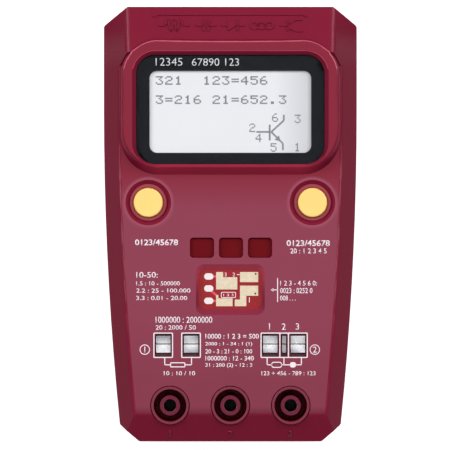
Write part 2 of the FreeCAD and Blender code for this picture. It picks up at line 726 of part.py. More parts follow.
def make_rear_shell():
    body = new_body("rear_shell")
    plan = new_sketch(body, "rear_plan")
    draw_outline(plan, case_outline(0, 0, 0))
    hull = pad(body, plan, dim.part_level, "rear_hull")
    bevelled = chamfer(body, hull, dim.back_chamfer, "back_bevel",
                       lambda edge: lies_at_level(edge, as_size(0)))
    fillet(body, bevelled, dim.corner_round, "rear_soft_corners", is_upright)
    hollow = new_sketch(body, "rear_hollow", dim.wall)
    draw_outline(hollow, case_outline(dim.wall + 0.8, dim.wall + 0.8, dim.wall + 0.8))
    pocket(body, hollow, dim.part_level, "rear_hollow_cut", upwards=True)

    frame = new_sketch(body, "door_frame", dim.wall - 0.2)
    half_width = dim.door_half_width + 2
    half_height = dim.door_half_height + 2
    draw_outline(frame, rounded_rectangle(-half_width, half_width, dim.battery_y - half_height,
                                          dim.battery_y + half_height, 3))
    pad(body, frame, 1.4, "door_frame_pad")
    posts = new_sketch(body, "rear_posts", dim.wall - 0.2)
    for x, y in CASE_SCREWS:
        draw_circle(posts, x, y, dim.post_radius + 0.4)
    pad(body, posts, dim.part_level - dim.wall + 0.2, "rear_posts_pad")
    supports = new_sketch(body, "board_supports", dim.wall - 0.2)
    for x in (-22, 22):
        draw_circle(supports, x, dim.jack_y + 9, 2.2)
    pad(body, supports, dim.jack_board_top - 1.6 - dim.wall + 0.2, "board_supports_pad")
    door_bosses = new_sketch(body, "door_bosses", dim.wall)
    for x, y in DOOR_SCREWS:
        draw_circle(door_bosses, x, y, dim.door_screw_radius + 1.8)
    pad(body, door_bosses, 6.5, "door_bosses_pad")
    ribs = new_sketch(body, "battery_ribs", dim.wall)
    for left in (-dim.bay_half_width - 1.8, dim.bay_half_width + 0.4):
        draw_outline(ribs, rectangle(left, left + 1.4, dim.battery_y - 11, dim.battery_y + 11))
    pad(body, ribs, 9.5, "battery_ribs_pad")

    rebate = new_sketch(body, "door_rebate", 0)
    half_width = dim.door_half_width + dim.door_gap
    half_height = dim.door_half_height + dim.door_gap
    draw_outline(rebate, rounded_rectangle(-half_width, half_width, dim.battery_y - half_height,
                                           dim.battery_y + half_height, 2 + dim.door_gap))
    pocket(body, rebate, dim.door_thick + dim.door_sink + 0.05, "door_rebate_cut", upwards=True)
    bay = new_sketch(body, "battery_bay", 0)
    draw_outline(bay, rectangle(-dim.bay_half_width, dim.bay_half_width,
                                dim.battery_y - dim.bay_half_height, dim.battery_y + dim.bay_half_height))
    pocket(body, bay, 4, "battery_bay_cut", upwards=True)
    label = new_sketch(body, "label_recess", 0)
    draw_outline(label, rounded_rectangle(-dim.label_half_width - 0.2, dim.label_half_width + 0.2,
                                          dim.label_low_y - 0.2, dim.label_high_y + 0.2, 1.7))
    pocket(body, label, 0.3, "label_recess_cut", upwards=True)
    counterbores = new_sketch(body, "counterbores", 0)
    for x, y in CASE_SCREWS:
        draw_circle(counterbores, x, y, dim.case_screw_head + 0.2)
    pocket(body, counterbores, dim.counterbore_depth, "counterbores_cut", upwards=True)
    shafts = new_sketch(body, "screw_holes", 0)
    for x, y in CASE_SCREWS:
        draw_circle(shafts, x, y, dim.case_pilot + 0.15)
    pocket(body, shafts, dim.part_level + 1, "screw_holes_cut", upwards=True)
    door_pilots = new_sketch(body, "door_pilots", dim.door_thick)
    for x, y in DOOR_SCREWS:
        draw_circle(door_pilots, x, y, dim.door_screw_radius + 0.15)
    pocket(body, door_pilots, 6, "door_pilots_cut", upwards=True)


# ---- the battery and its door ----

def make_battery_door():
    """The door with a raised grip pattern; two captive screws hold it."""
    body = new_body("battery_door")
    plate = new_sketch(body, "plate", dim.door_sink)
    draw_outline(plate, rounded_rectangle(-dim.door_half_width, dim.door_half_width,
                                          dim.battery_y - dim.door_half_height,
                                          dim.battery_y + dim.door_half_height, 2))
    pad(body, plate, dim.door_thick, "plate_pad")
    heads = new_sketch(body, "head_seats", dim.door_sink)
    holes = new_sketch(body, "shank_holes", dim.door_sink)
    for x, y in DOOR_SCREWS:
        draw_circle(heads, x, y, dim.door_screw_radius + 1.3)
        draw_circle(holes, x, y, dim.door_screw_radius + 0.05)
    pocket(body, heads, 0.9, "head_seats_cut", upwards=True)
    pocket(body, holes, dim.door_thick, "shank_holes_cut", upwards=True)
    grip = new_sketch(body, "grip_grooves", dim.door_sink)
    for step in range(5):
        low = dim.battery_y - 7.4 + 3.4 * step
        draw_outline(grip, rounded_rectangle(-9, 9, low, low + 1.2, 0.55))
    pocket(body, grip, 0.5, "grip_grooves_cut", upwards=True)

    screws = []
    for number, (x, y) in enumerate(DOOR_SCREWS, start=1):
        low = dim.door_sink + 0.05
        head = rod(f"door_screw_{number}_head", dim.door_screw_radius + 1.2, x, y, (low, low + 0.85))
        shank = rod(f"door_screw_{number}_shank", dim.door_screw_radius, x, y, (low + 0.5, low + 6.3))
        slot = block(f"door_screw_{number}_slot", (x - 3, x + 3), (y - 0.25, y + 0.25),
                     (low - 1, low + 0.4))
        screws.append(cut(f"door_screw_{number}", fuse(f"door_screw_{number}_solid", head, shank), slot))
    keep("door_screws", group("door_screws", *screws))


def make_battery():
    low, high = dim.battery_low_z, dim.battery_low_z + dim.battery_height
    right = dim.battery_left_x + dim.battery_length
    body = new_body("battery")
    end = new_sketch(body, "battery_end", dim.battery_left_x, role="YZ_Plane")
    draw_outline(end, rounded_rectangle(dim.battery_y - dim.battery_width / 2,
                                        dim.battery_y + dim.battery_width / 2, low, high, 2))
    pad(body, end, dim.battery_length, "battery_pad")
    snaps = []
    for name, offset, radius in (("plus", 6.35, 2.85), ("minus", -6.35, 3.9)):
        snap = doc.addObject("Part::Cylinder", f"{name}_snap")
        bind(snap, "Radius", radius)
        bind(snap, "Height", 3)
        snap.Placement.Rotation = FreeCAD.Rotation(FreeCAD.Vector(0, 1, 0), 90)
        move_to(snap, right, dim.battery_y + offset, (low + high) / 2)
        snaps.append(snap)
    keep("battery_terminals", group("battery_terminals", *snaps))
    plate_x = right + 3
    keep("snap_plate", block("snap_plate", (plate_x, plate_x + 1.6),
                             (dim.battery_y - 12.5, dim.battery_y + 12.5), (low + 2, high - 2)))
    strips = []
    for name, offset in (("plus", 6.35), ("minus", -6.35)):
        middle = dim.battery_y + offset
        strips.append(block(f"{name}_strip", (plate_x + 1.6, plate_x + 2.0), (middle - 1.5, middle + 1.5),
                            (low + 6, BOARD_BOTTOM)))
    keep("battery_contacts", group("battery_contacts", *strips))
    keep("battery_pad", block("battery_pad_foam", (-18, 14),
                              (dim.battery_y - 9, dim.battery_y + 9), (high + 0.05, BOARD_BOTTOM - 0.05)))


# ---- the display ----

def make_window():
    half = dim.window_half_width - 0.08
    outline = rounded_rectangle(-half, half, dim.window_low_y + 0.08, dim.window_high_y - 0.08,
                                dim.window_corner - 0.08)
    tape_top = dim.seat_level + dim.window_tape_thick
    ink_top = tape_top + dim.window_ink_thick

    tape = new_body("window_tape")
    ring = new_sketch(tape, "tape_ring", dim.seat_level)
    draw_outline(ring, outline)
    pad(tape, ring, dim.window_tape_thick, "tape_pad")
    inner = new_sketch(tape, "tape_inner", dim.seat_level)
    draw_outline(inner, rectangle(-half + 2.1, half - 2.1, dim.window_low_y + 2.5, dim.window_high_y - 2.5))
    pocket_through(tape, inner, "tape_inner_cut")

    border = new_body("window_border")
    ring = new_sketch(border, "border_ring", tape_top)
    draw_outline(ring, outline)
    pad(border, ring, dim.window_ink_thick, "border_pad")
    inner = new_sketch(border, "border_inner", tape_top)
    draw_outline(inner, view_outline())
    pocket_through(border, inner, "border_inner_cut")

    lens = new_body("display_window")
    plate = new_sketch(lens, "lens_outline", ink_top)
    draw_outline(plate, outline)
    lens_pad = pad(lens, plate, dim.window_thick, "lens_pad")
    fillet(lens, lens_pad, 0.2, "lens_edge", lambda edge: lies_at_level(edge, ink_top + dim.window_thick))


def make_display_module():
    board_low = dim.board_top + 3.8
    board_high = board_low + 1.2
    half = dim.window_half_width
    low, high = dim.window_low_y, dim.window_high_y
    keep("lcd_board", block("lcd_board", (-half + 1.5, half - 1.5), (low + 1.5, high - 1.1),
                            (board_low, board_high)))
    top = dim.seat_level - 0.2
    shell = block("lcd_frame_block", (-half + 2.6, half - 2.6), (low + 2.7, high - 2.7), (board_high, top))
    inside = block("lcd_frame_inside", (-half + 3.0, half - 3.0), (low + 3.1, high - 3.1),
                   (board_high - 1, top - 0.4))
    face = block("lcd_frame_face", (-dim.view_half_width - 0.7, dim.view_half_width + 0.7),
                 (dim.view_low_y - 0.5, dim.view_high_y + 0.5), (top - 1, top + 1))
    keep("lcd_frame", cut("lcd_frame", shell, fuse("lcd_frame_hollow", inside, face)))
    inner_x = (-half + 3.2, half - 3.2)
    inner_y = (low + 3.3, high - 3.3)
    split = board_high + 2.6
    keep("lcd_backlight", block("lcd_backlight", inner_x, inner_y, (board_high + 0.02, split)))
    keep("lcd_glass", block("lcd_glass", inner_x, inner_y, (split + 0.02, top - 0.45)))
    posts = []
    for number, (x, y) in enumerate(((-26, 3.7), (26, 3.7), (-26, 31.2), (26, 31.2)), start=1):
        posts.append(rod(f"lcd_post_{number}", 2.0, x, low + y, (dim.board_top, board_low)))
    keep("lcd_standoffs", group("lcd_standoffs", *posts))
    keep("lcd_header", block("lcd_header", (-23, 23), (high - 3.9, high - 1.5),
                             (dim.board_top, board_low)))


# ---- the boards ----

def make_main_board():
    body = new_body("main_board")
    outline = new_sketch(body, "board_outline", BOARD_BOTTOM)
    draw_outline(outline, mirror_outline([
        (dim.board_half_width, dim.board_low_y),
        (dim.board_half_width, -4),
        (dim.board_head_half, 0),
        (dim.board_head_half, dim.board_high_y),
    ]))
    pad(body, outline, dim.board_thick, "board_pad")
    holes = new_sketch(body, "board_holes", BOARD_BOTTOM)
    for x, y in BOARD_SCREWS:
        draw_circle(holes, x, y, dim.board_screw_radius + 0.2)
    pocket_through(body, holes, "board_holes_cut")


def make_board_parts():
    """The controller with its leads, and the small parts around it."""
    top = dim.board_top
    chip_y, half = -2.0, 3.5
    keep("microcontroller", block("microcontroller", (-half, half),
                                  (chip_y - half, chip_y + half), (top + 0.1, top + 1.1)))
    leads = []
    for side in (-1, 1):
        for step in range(8):
            along = 0.8 * step - 2.8
            near, far = sorted((side * (half + 0.02), side * (half + 1.0)))
            leads.append(block(f"lead_x_{side + 1}_{step}", (near, far),
                               (chip_y + along - 0.17, chip_y + along + 0.17),
                               (top, top + 0.15)))
            leads.append(block(f"lead_y_{side + 1}_{step}", (along - 0.17, along + 0.17),
                               (chip_y + near, chip_y + far), (top, top + 0.15)))
    keep("microcontroller_leads", group("microcontroller_leads", *leads))

    can = new_body("crystal")
    outline = new_sketch(can, "crystal_outline", top)
    draw_outline(outline, rounded_rectangle(-5.5, 5.5, 5.8, 10.2,
                                            2.15))
    pad(can, outline, 3.4, "crystal_pad")
    keep("voltage_regulator", block("voltage_regulator", (8.5, 13),
                                    (7, 9.6), (top, top + 1.5)))
    cans = [rod(f"capacitor_{n}", 2.4, x, y, (top, top + 4.6))
            for n, (x, y) in enumerate(((-9.5, -7.5), (9.5, -7.5), (-11, 8.5)), start=1)]
    keep("filter_capacitors", group("filter_capacitors", *cans))
    chips = []
    for number in range(6):
        x = -20 + 8 * number
        chips.append(block(f"chip_resistor_{number + 1}", (x - 0.8, x + 0.8),
                           (-12.6, -11.8), (top, top + 0.5)))
    keep("chip_resistors", group("chip_resistors", *chips))

    middle_x, y, z = -17.0, -46.4, top + 2.3
    barrel = doc.addObject("Part::Cylinder", "resistor_barrel")
    bind(barrel, "Radius", 1.7)
    bind(barrel, "Height", 8)
    barrel.Placement.Rotation = FreeCAD.Rotation(FreeCAD.Vector(0, 1, 0), 90)
    move_to(barrel, middle_x - 4, y, z)
    legs = []
    for side, near, far in (("left", middle_x - 6.2, middle_x - 4),
                            ("right", middle_x + 4, middle_x + 6.2)):
        legs.append(block(f"{side}_leg_run", (near, far), (y - 0.3, y + 0.3),
                          (z - 0.3, z + 0.3)))
        x = near if side == "left" else far
        legs.append(rod(f"{side}_leg", 0.3, x, y, (top, z + 0.3)))
    keep("discharge_resistor", fuse("discharge_resistor", barrel, *legs))


def make_test_board():
    """The small board under the recess: its pads are flat tinned areas joined to three test lines."""
    top = dim.field_board_top
    low = top - 1.2
    half = dim.field_half_width + 1.4
    keep("test_board", block("test_board", (-half, half), (dim.field_low_y - 1.2, dim.field_high_y + 1.2),
                             (low, top)))
    body = new_body("test_pads")
    outline = new_sketch(body, "pad_outlines", top)
    for y in (-16.4, -20.2, -24.1):
        draw_outline(outline, rounded_rectangle(-8.28, -5.36, y - 1.0, y + 1.0, 0.98))
    # upper left land with the tab that runs to the first oval
    draw_outline(outline, [
        (-4.5, -20.5), (2.2, -20.5), (2.2, -16.65), (-2.3, -16.65), (-2.3, -15.0), (-4.5, -15.0),
    ])
    # upper right land
    draw_outline(outline, rectangle(3.05, 8.8, -18.2, -15.0))
    # lower right land with its leg and foot
    draw_outline(outline, [
        (1.4, -25.8), (5.05, -25.8), (5.05, -22.5), (8.8, -22.5), (8.8, -19.3), (3.05, -19.3),
        (3.05, -23.7), (1.4, -23.7),
    ])
    # lower left land
    draw_outline(outline, [
        (-4.5, -25.8), (0.7, -25.8), (0.7, -23.3), (-3.8, -23.3), (-3.8, -22.3), (-4.5, -22.3),
    ])
    pad(body, outline, 0.08, "land_pad")
    pins = []
    for number, x in enumerate((-2.54, 0, 2.54), start=1):
        pins.append(rod(f"test_pin_{number}", 0.35, x, dim.field_low_y - 0.2, (dim.board_top, low)))
    keep("test_board_pins", group("test_board_pins", *pins))


# ---- buttons and switches ----

def make_buttons():
    stem_top = dim.board_top + 4.1
    body_top = stem_top - 0.7
    for side, x in (("left", -dim.button_x), ("right", dim.button_x)):
        body = new_body(f"{side}_button")
        flange = new_sketch(body, f"{side}_flange", stem_top)
        draw_circle(flange, 0, 0, dim.button_flange)
        pad(body, flange, 0.9, f"{side}_flange_pad")
        cap = new_sketch(body, f"{side}_cap", stem_top)
        draw_circle(cap, 0, 0, dim.button_radius)
        cap_pad = pad(body, cap, dim.button_top - stem_top, f"{side}_cap_pad")
        fillet(body, cap_pad, dim.button_round, f"{side}_cap_round",
               lambda edge: lies_at_level(edge, dim.button_top))
        move_to(body, x, dim.button_y)
        housing = block(f"{side}_housing", (x - 3, x + 3), (dim.button_y - 3, dim.button_y + 3),
                        (dim.board_top, body_top))
        well = rod(f"{side}_stem_well", 1.85, x, dim.button_y, (body_top - 1.5, body_top + 1))
        keep(f"{side}_switch", cut(f"{side}_switch", housing, well))
        keep(f"{side}_switch_stem", rod(f"{side}_switch_stem", 1.7, x, dim.button_y,
                                        (body_top - 1.5 + dim.button_travel + 0.1, stem_top)))


# ---- test ports ----

def contact_leaf(name, x, width, side):
    """One sprung leaf: a sloping lip that guides a lead down to an upright limb."""
    body = doc.addObject("PartDesign::Body", name)
    profile = new_sketch(body, f"{name}_profile", role="YZ_Plane")
    lip, knee, foot = dim.deck_level - 0.6, dim.deck_level - 2.0, dim.board_top + 1.2
    points = [(0.15, foot), (0.45, foot), (0.45, knee - 0.2), (dim.port_reach - 0.15, lip - 0.3),
              (dim.port_reach, lip), (0.15, knee + 0.1)]
    points = [(side * y, z) for y, z in points]
    draw_outline(profile, points if side > 0 else points[::-1])
    pad_both_ways(body, profile, width - 0.7, f"{name}_pad")
    move_to(body, x + width / 2, dim.port_line_y)
    return body


def make_ports():
    """An insulating block with a pair of sprung leaves in each slot."""
    well_half = dim.port_reach + 0.2
    for port, slots in ((1, PORT_1_SLOTS), (2, PORT_2_SLOTS)):
        left, right = slots[0][0], slots[-1][0] + slots[-1][1]
        solid = block(f"port_{port}_solid", (left - 0.7, right + 0.7),
                      (dim.port_low_y - 1.2, dim.port_high_y + 1.2), (dim.board_top, CEILING - 0.1))
        wells, leaves = [], []
        for number, (x, width) in enumerate(slots, start=1):
            wells.append(block(f"port_{port}_well_{number}", (x, x + width),
                               (dim.port_line_y - well_half, dim.port_line_y + well_half),
                               (dim.board_top + 1.2, CEILING + 1)))
            for name, side in (("upper", 1), ("lower", -1)):
                leaves.append(contact_leaf(f"port_{port}_{name}_leaf_{number}", x, width, side))
        keep(f"port_{port}_block", cut(f"port_{port}_block", solid, fuse(f"port_{port}_wells", *wells)))
        keep(f"port_{port}_contacts", group(f"port_{port}_contacts", *leaves))


# ---- jacks ----

def make_jacks():
    """Three shrouded 4 mm jacks: an insulating body and a metal sleeve with a solder tail."""
    tall = dim.deck_level - dim.jack_board_top
    for number, x in enumerate(JACKS, start=1):
        body = new_body(f"jack_{number}_body")
        collar = new_sketch(body, f"jack_{number}_collar")
        draw_circle(collar, 0, 0, dim.jack_radius)
        collar_pad = pad(body, collar, tall, f"jack_{number}_collar_pad")
        fillet(body, collar_pad, 0.25, f"jack_{number}_edge", lambda edge: lies_at_level(edge, tall))
        gap = new_sketch(body, f"jack_{number}_gap", tall)
        draw_circle(gap, 0, 0, dim.shroud_radius)
        draw_circle(gap, 0, 0, dim.shroud_core)
        pocket(body, gap, dim.shroud_depth, f"jack_{number}_gap_cut")
        seat = new_sketch(body, f"jack_{number}_seat")
        draw_circle(seat, 0, 0, dim.jack_sleeve + 0.01)
        pocket(body, seat, tall - 0.55, f"jack_{number}_seat_cut", upwards=True)
        mouth = new_sketch(body, f"jack_{number}_mouth")
        draw_circle(mouth, 0, 0, dim.jack_bore + 0.02)
        pocket(body, mouth, tall + 1, f"jack_{number}_mouth_cut", upwards=True)
        move_to(body, x, dim.jack_y, dim.jack_board_top)

        sleeve = new_body(f"jack_{number}_contact")
        tail = new_sketch(sleeve, f"jack_{number}_tail", -2.2)
        draw_circle(tail, 0, 0, 0.8)
        pad(sleeve, tail, 3.5, f"jack_{number}_tail_pad")
        tube = new_sketch(sleeve, f"jack_{number}_tube", 0.6)
        draw_circle(tube, 0, 0, dim.jack_sleeve)
        pad(sleeve, tube, tall - 1.2, f"jack_{number}_tube_pad")
        hole = new_sketch(sleeve, f"jack_{number}_hole", 2)
        draw_circle(hole, 0, 0, dim.jack_bore)
        pocket(sleeve, hole, tall, f"jack_{number}_hole_cut", upwards=True)
        move_to(sleeve, x, dim.jack_y, dim.jack_board_top)

    plate = block("jack_board_plate", (-dim.board_half_width, dim.board_half_width),
                  (dim.jack_y - 7.1, dim.board_low_y + 3.6), (dim.jack_board_top - 1.6, dim.jack_board_top))
    tails = [rod(f"tail_hole_{n}", 0.9, x, dim.jack_y, (dim.jack_board_top - 2, dim.jack_board_top + 1))
             for n, x in enumerate(JACKS, start=1)]
    keep("jack_board", cut("jack_board", plate, fuse("tail_holes", *tails)))
    keep("board_link", block("board_link", (9, 19),
                             (dim.board_low_y + 0.9, dim.board_low_y + 3.1),
                             (dim.jack_board_top, BOARD_BOTTOM)))


# ---- fasteners and the label ----

def make_screws():
    screws = []
    for number, (x, y) in enumerate(CASE_SCREWS, start=1):
        seat = dim.counterbore_depth
        head = rod(f"case_screw_{number}_head", dim.case_screw_head, x, y, (seat - 2, seat))
        shank = rod(f"case_screw_{number}_shank", dim.case_screw_radius, x, y, (seat - 1, seat + 17))
        slots = fuse(f"case_screw_{number}_cross",
                     block(f"case_screw_{number}_slot_x", (x - 1.5, x + 1.5), (y - 0.3, y + 0.3),
                           (seat - 3, seat - 0.8)),
                     block(f"case_screw_{number}_slot_y", (x - 0.3, x + 0.3), (y - 1.5, y + 1.5),
                           (seat - 3, seat - 0.8)))
        screws.append(cut(f"case_screw_{number}", fuse(f"case_screw_{number}_solid", head, shank), slots))
    keep("case_screws", group("case_screws", *screws))
    screws = []
    for number, (x, y) in enumerate(BOARD_SCREWS, start=1):
        head = rod(f"board_screw_{number}_head", 2.0, x, y, (BOARD_BOTTOM - 1.3, BOARD_BOTTOM))
        shank = rod(f"board_screw_{number}_shank", dim.board_screw_radius, x, y,
                    (BOARD_BOTTOM - 0.5, dim.board_top + 4))
        screws.append(fuse(f"board_screw_{number}", head, shank))
    keep("board_screws", group("board_screws", *screws))


def make_label():
    body = new_body("rear_label")
    outline = new_sketch(body, "label_outline", 0.1)
    draw_outline(outline, rounded_rectangle(-dim.label_half_width, dim.label_half_width,
                                            dim.label_low_y, dim.label_high_y, 1.5))
    pad(body, outline, 0.2, "label_pad")


def check_document():
    """Stop if any object failed, or if a piece has no valid solid."""
    doc.recompute()
    for thing in doc.Objects:
        if "Invalid" in thing.State or "Error" in thing.State:
            raise RuntimeError(f"{thing.Name} ({thing.Label}) did not build: {thing.State}")
    for label, thing in nodes.items():
        shape = thing.Shape
        if shape.isNull() or not shape.isValid() or not shape.Solids:
            raise RuntimeError(f"{label} has no valid solid")


def export_parts():
    os.makedirs("parts", exist_ok=True)
    for label, thing in nodes.items():
        thing.Shape.exportStep(f"parts/{label}.step")
        print(f"{label}: {len(thing.Shape.Solids)} solid(s), {thing.Shape.Volume:.1f} mm3")


make_front_shell()
make_rear_shell()
make_battery_door()
make_battery()
make_window()
make_display_module()
make_main_board()
make_board_parts()
make_test_board()
make_buttons()
make_ports()
make_jacks()
make_screws()
make_label()
check_document()
export_parts()
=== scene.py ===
"""Looks of the hand-held component tester: materials for the CAD pieces, printing, raised marks and the
display's dots, on a pale floor under soft light."""

import math

import bmesh
import bpy
from mathutils import Matrix, Vector


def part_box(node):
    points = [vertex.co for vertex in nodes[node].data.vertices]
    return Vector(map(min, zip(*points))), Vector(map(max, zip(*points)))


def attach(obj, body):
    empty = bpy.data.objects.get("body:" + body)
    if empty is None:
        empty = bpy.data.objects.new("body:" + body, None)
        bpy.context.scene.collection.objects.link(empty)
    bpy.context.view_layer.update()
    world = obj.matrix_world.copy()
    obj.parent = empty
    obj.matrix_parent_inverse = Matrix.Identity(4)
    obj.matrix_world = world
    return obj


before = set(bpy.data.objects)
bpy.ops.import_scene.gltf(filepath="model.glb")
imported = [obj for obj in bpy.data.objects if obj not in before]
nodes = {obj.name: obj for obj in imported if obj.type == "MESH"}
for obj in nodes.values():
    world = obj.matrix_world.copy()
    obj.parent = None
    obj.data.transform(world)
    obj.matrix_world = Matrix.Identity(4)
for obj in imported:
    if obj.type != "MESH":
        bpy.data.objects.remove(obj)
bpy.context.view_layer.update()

# levels and places in millimetres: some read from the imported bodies, the others as in the CAD model
MM = 0.001
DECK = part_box("jack_1_body")[1].z / MM
JACK_Y = (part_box("jack_2_body")[0].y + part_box("jack_2_body")[1].y) / 2 / MM
JACK_PITCH = (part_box("jack_3_body")[1].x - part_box("jack_2_body")[1].x) / MM
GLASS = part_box("lcd_glass")[1].z / MM
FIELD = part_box("test_board")[1].z / MM
SQUARES_Y = -7.3
PORT_Y = -37.75
BUTTON_X = 25.9
BUTTON_Y = 6.95
CASE_END = 68.7
HEAD_SLOPE_Y = 54.5
HEAD_DROP = 3.8
FOOT_SLOPE_Y = -60.0
FOOT_DROP = 5.0

# how far a printed mark stands over its surface, and how far it reaches below it
PRINT_RISE = 0.035
PRINT_SINK = 0.03


# ---- materials ----

def srgb(red, green, blue):
    """A linear colour from screen values of 0 to 255."""
    def linear(value):
        share = value / 255
        return share / 12.92 if share <= 0.04045 else ((share + 0.055) / 1.055) ** 2.4
    return (linear(red), linear(green), linear(blue), 1.0)


BLACK = (0, 0, 0, 1)
WHITE = (1, 1, 1, 1)
SHELL = srgb(128, 30, 58)
# painted shade: the shell's red on steep and on shallow slopes
STEEP_SLOPE_SHADE = srgb(102, 12, 38)
SHALLOW_SLOPE_SHADE = srgb(118, 22, 47)
# painted light: the wall below the display window lightened
SKIRT_PAINTED_LIGHT = srgb(160, 42, 68)
# painted light: the sloping dish round each button lightened
DISH_PAINTED_LIGHT = srgb(126, 25, 50)
# painted highlights: a halo on the outer edge of each dish and the lip round each cap
DISH_EDGE_HIGHLIGHT = srgb(142, 68, 86)
DISH_LIP_HIGHLIGHT = srgb(146, 58, 66)
# painted shade and light: the walls of the test-board recess, darker at the lower end and lighter at
# the upper end
FIELD_WALL_SHADE = srgb(130, 42, 63)
FIELD_WALL_LIGHT = srgb(166, 60, 82)
# painted highlight: the crest along the top edge of the display surround
CREST_HIGHLIGHT = srgb(186, 84, 104)
# painted shade: the rounded bend where the face meets the slope at the foot
FOOT_BEND_SHADE = srgb(98, 12, 36)
JACK_FACE = srgb(120, 47, 64)
# painted shade on the jack's core; painted light in its deep gap and bore
JACK_CORE_SHADE = srgb(100, 30, 50)
JACK_GAP_LIGHT = srgb(140, 16, 34)
JACKET = srgb(30, 32, 36)

# noise scales that the moulded parts share
CLOUD = 45
SHEEN = 140
GRAIN = 2600


class Finish:
    """A material built round one Principled shader."""

    def __init__(self, name, colour, roughness, **constants):
        self.material = bpy.data.materials.new(name)
        self.material.use_nodes = True
        self.tree = self.material.node_tree
        self.shader = self.tree.nodes["Principled BSDF"]
        self.colour = colour
        self.roughness = roughness
        self.shader.inputs["Base Color"].default_value = colour
        self.shader.inputs["Roughness"].default_value = roughness
        for socket, value in constants.items():
            self.shader.inputs[socket.replace("_", " ")].default_value = value
        self.place = self.node("ShaderNodeTexCoord").outputs["Object"]

    def node(self, kind, inputs=None, **settings):
        node = self.tree.nodes.new(kind)
        for name, value in settings.items():
            setattr(node, name, value)
        for socket, value in (inputs or {}).items():
            if isinstance(value, bpy.types.NodeSocket):
                self.tree.links.new(value, node.inputs[socket])
            else:
                node.inputs[socket].default_value = value
        return node

    def wire(self, source, socket):
        self.tree.links.new(source, self.shader.inputs[socket])

    def parts(self):
        """The x, y and z of the shaded point, in metres."""
        return self.node("ShaderNodeSeparateXYZ", {0: self.place}).outputs

    def facing_up(self):
        """The z part of the surface's normal: 1 on level ground and 0 on a wall."""
        normal = self.node("ShaderNodeNewGeometry").outputs["Normal"]
        return self.node("ShaderNodeSeparateXYZ", {0: normal}).outputs[2]

    # sums with sockets and numbers

    def math(self, operation, first, second=0.0):
        return self.node("ShaderNodeMath", {0: first, 1: second}, operation=operation).outputs[0]

    def plus(self, first, second):
        return self.math("ADD", first, second)

    def minus(self, first, second):
        return self.math("SUBTRACT", first, second)

    def times(self, first, second):
        return self.math("MULTIPLY", first, second)

    def over(self, value, limit):
        return self.math("GREATER_THAN", value, limit)

    def under(self, value, limit):
        return self.math("LESS_THAN", value, limit)

    def away(self, value, middle):
        """How far a value is from a middle, to either side."""
        return self.math("ABSOLUTE", self.minus(value, middle))

    def radius(self, across, along):
        return self.math("SQRT", self.plus(self.times(across, across), self.times(along, along)))

    # patterns and colours

    def noise(self, scale, detail=2.0, stretch=None, roughness=0.5):
        place = self.place
        if stretch:
            place = self.node("ShaderNodeMapping", {"Vector": place, "Scale": stretch}).outputs[0]
        return self.node("ShaderNodeTexNoise", {
            "Vector": place, "Scale": scale, "Detail": detail, "Roughness": roughness,
        }).outputs["Fac"]

    def spread(self, value, low, high, from_low=0.3, from_high=0.7):
        """Carry one range over to another; the range that noise mostly fills is the default."""
        return self.node("ShaderNodeMapRange", {
            "Value": value, "From Min": from_low, "From Max": from_high,
            "To Min": low, "To Max": high,
        }).outputs[0]

    def rise(self, value, start, end):
        """0 up to the start and 1 from the end on, both in millimetres."""
        return self.spread(value, 0, 1, start * MM, end * MM)

    def fall(self, value, start, end):
        """1 up to the start and 0 from the end on, both in millimetres."""
        return self.spread(value, 1, 0, start * MM, end * MM)

    def mix(self, share, first, second):
        node = self.node("ShaderNodeMix", data_type="RGBA")
        for slot, value in ((0, share), (6, first), (7, second)):
            if isinstance(value, bpy.types.NodeSocket):
                self.tree.links.new(value, node.inputs[slot])
            else:
                node.inputs[slot].default_value = value
        return node.outputs[2]

    def tint(self, pattern, amount):
        """Vary the colour's depth with a pattern."""
        dark = tuple(c * (1 - amount) for c in self.colour[:3]) + (1.0,)
        light = tuple(min(1.0, c * (1 + amount)) for c in self.colour[:3]) + (1.0,)
        colour = self.mix(self.spread(pattern, 0, 1), dark, light)
        self.wire(colour, "Base Color")
        return colour

    def rough(self, pattern, amount):
        """Vary the roughness with a pattern."""
        low, high = self.roughness - amount, self.roughness + amount
        self.wire(self.spread(pattern, low, high), "Roughness")

    def bump(self, pattern, depth):
        """Relief of the given depth in millimetres."""
        relief = self.node("ShaderNodeBump", {
            "Height": pattern, "Distance": depth * MM, "Strength": 1.0,
        })
        self.wire(relief.outputs[0], "Normal")


def moulded(name, colour, roughness, grain=GRAIN, depth=0.012, tint=0.05, **constants):
    """Moulded plastic: spark-eroded grain, faint cloudiness, small changes of sheen."""
    finish = Finish(name, colour, roughness, **constants)
    finish.tint(finish.noise(CLOUD, 3.0), tint)
    finish.rough(finish.noise(SHEEN, 4.0), 0.05)
    finish.bump(finish.noise(grain, 3.0, roughness=0.6), depth)
    return finish


def metal(name, colour, roughness, stretch, scale=900):
    """Drawn or plated metal with lines along one direction."""
    finish = Finish(name, colour, roughness, Metallic=1.0)
    lines = finish.noise(scale, 3.0, stretch)
    finish.tint(finish.noise(220, 3.0), 0.12)
    finish.rough(lines, 0.08)
    finish.bump(lines, 0.003)
    return finish


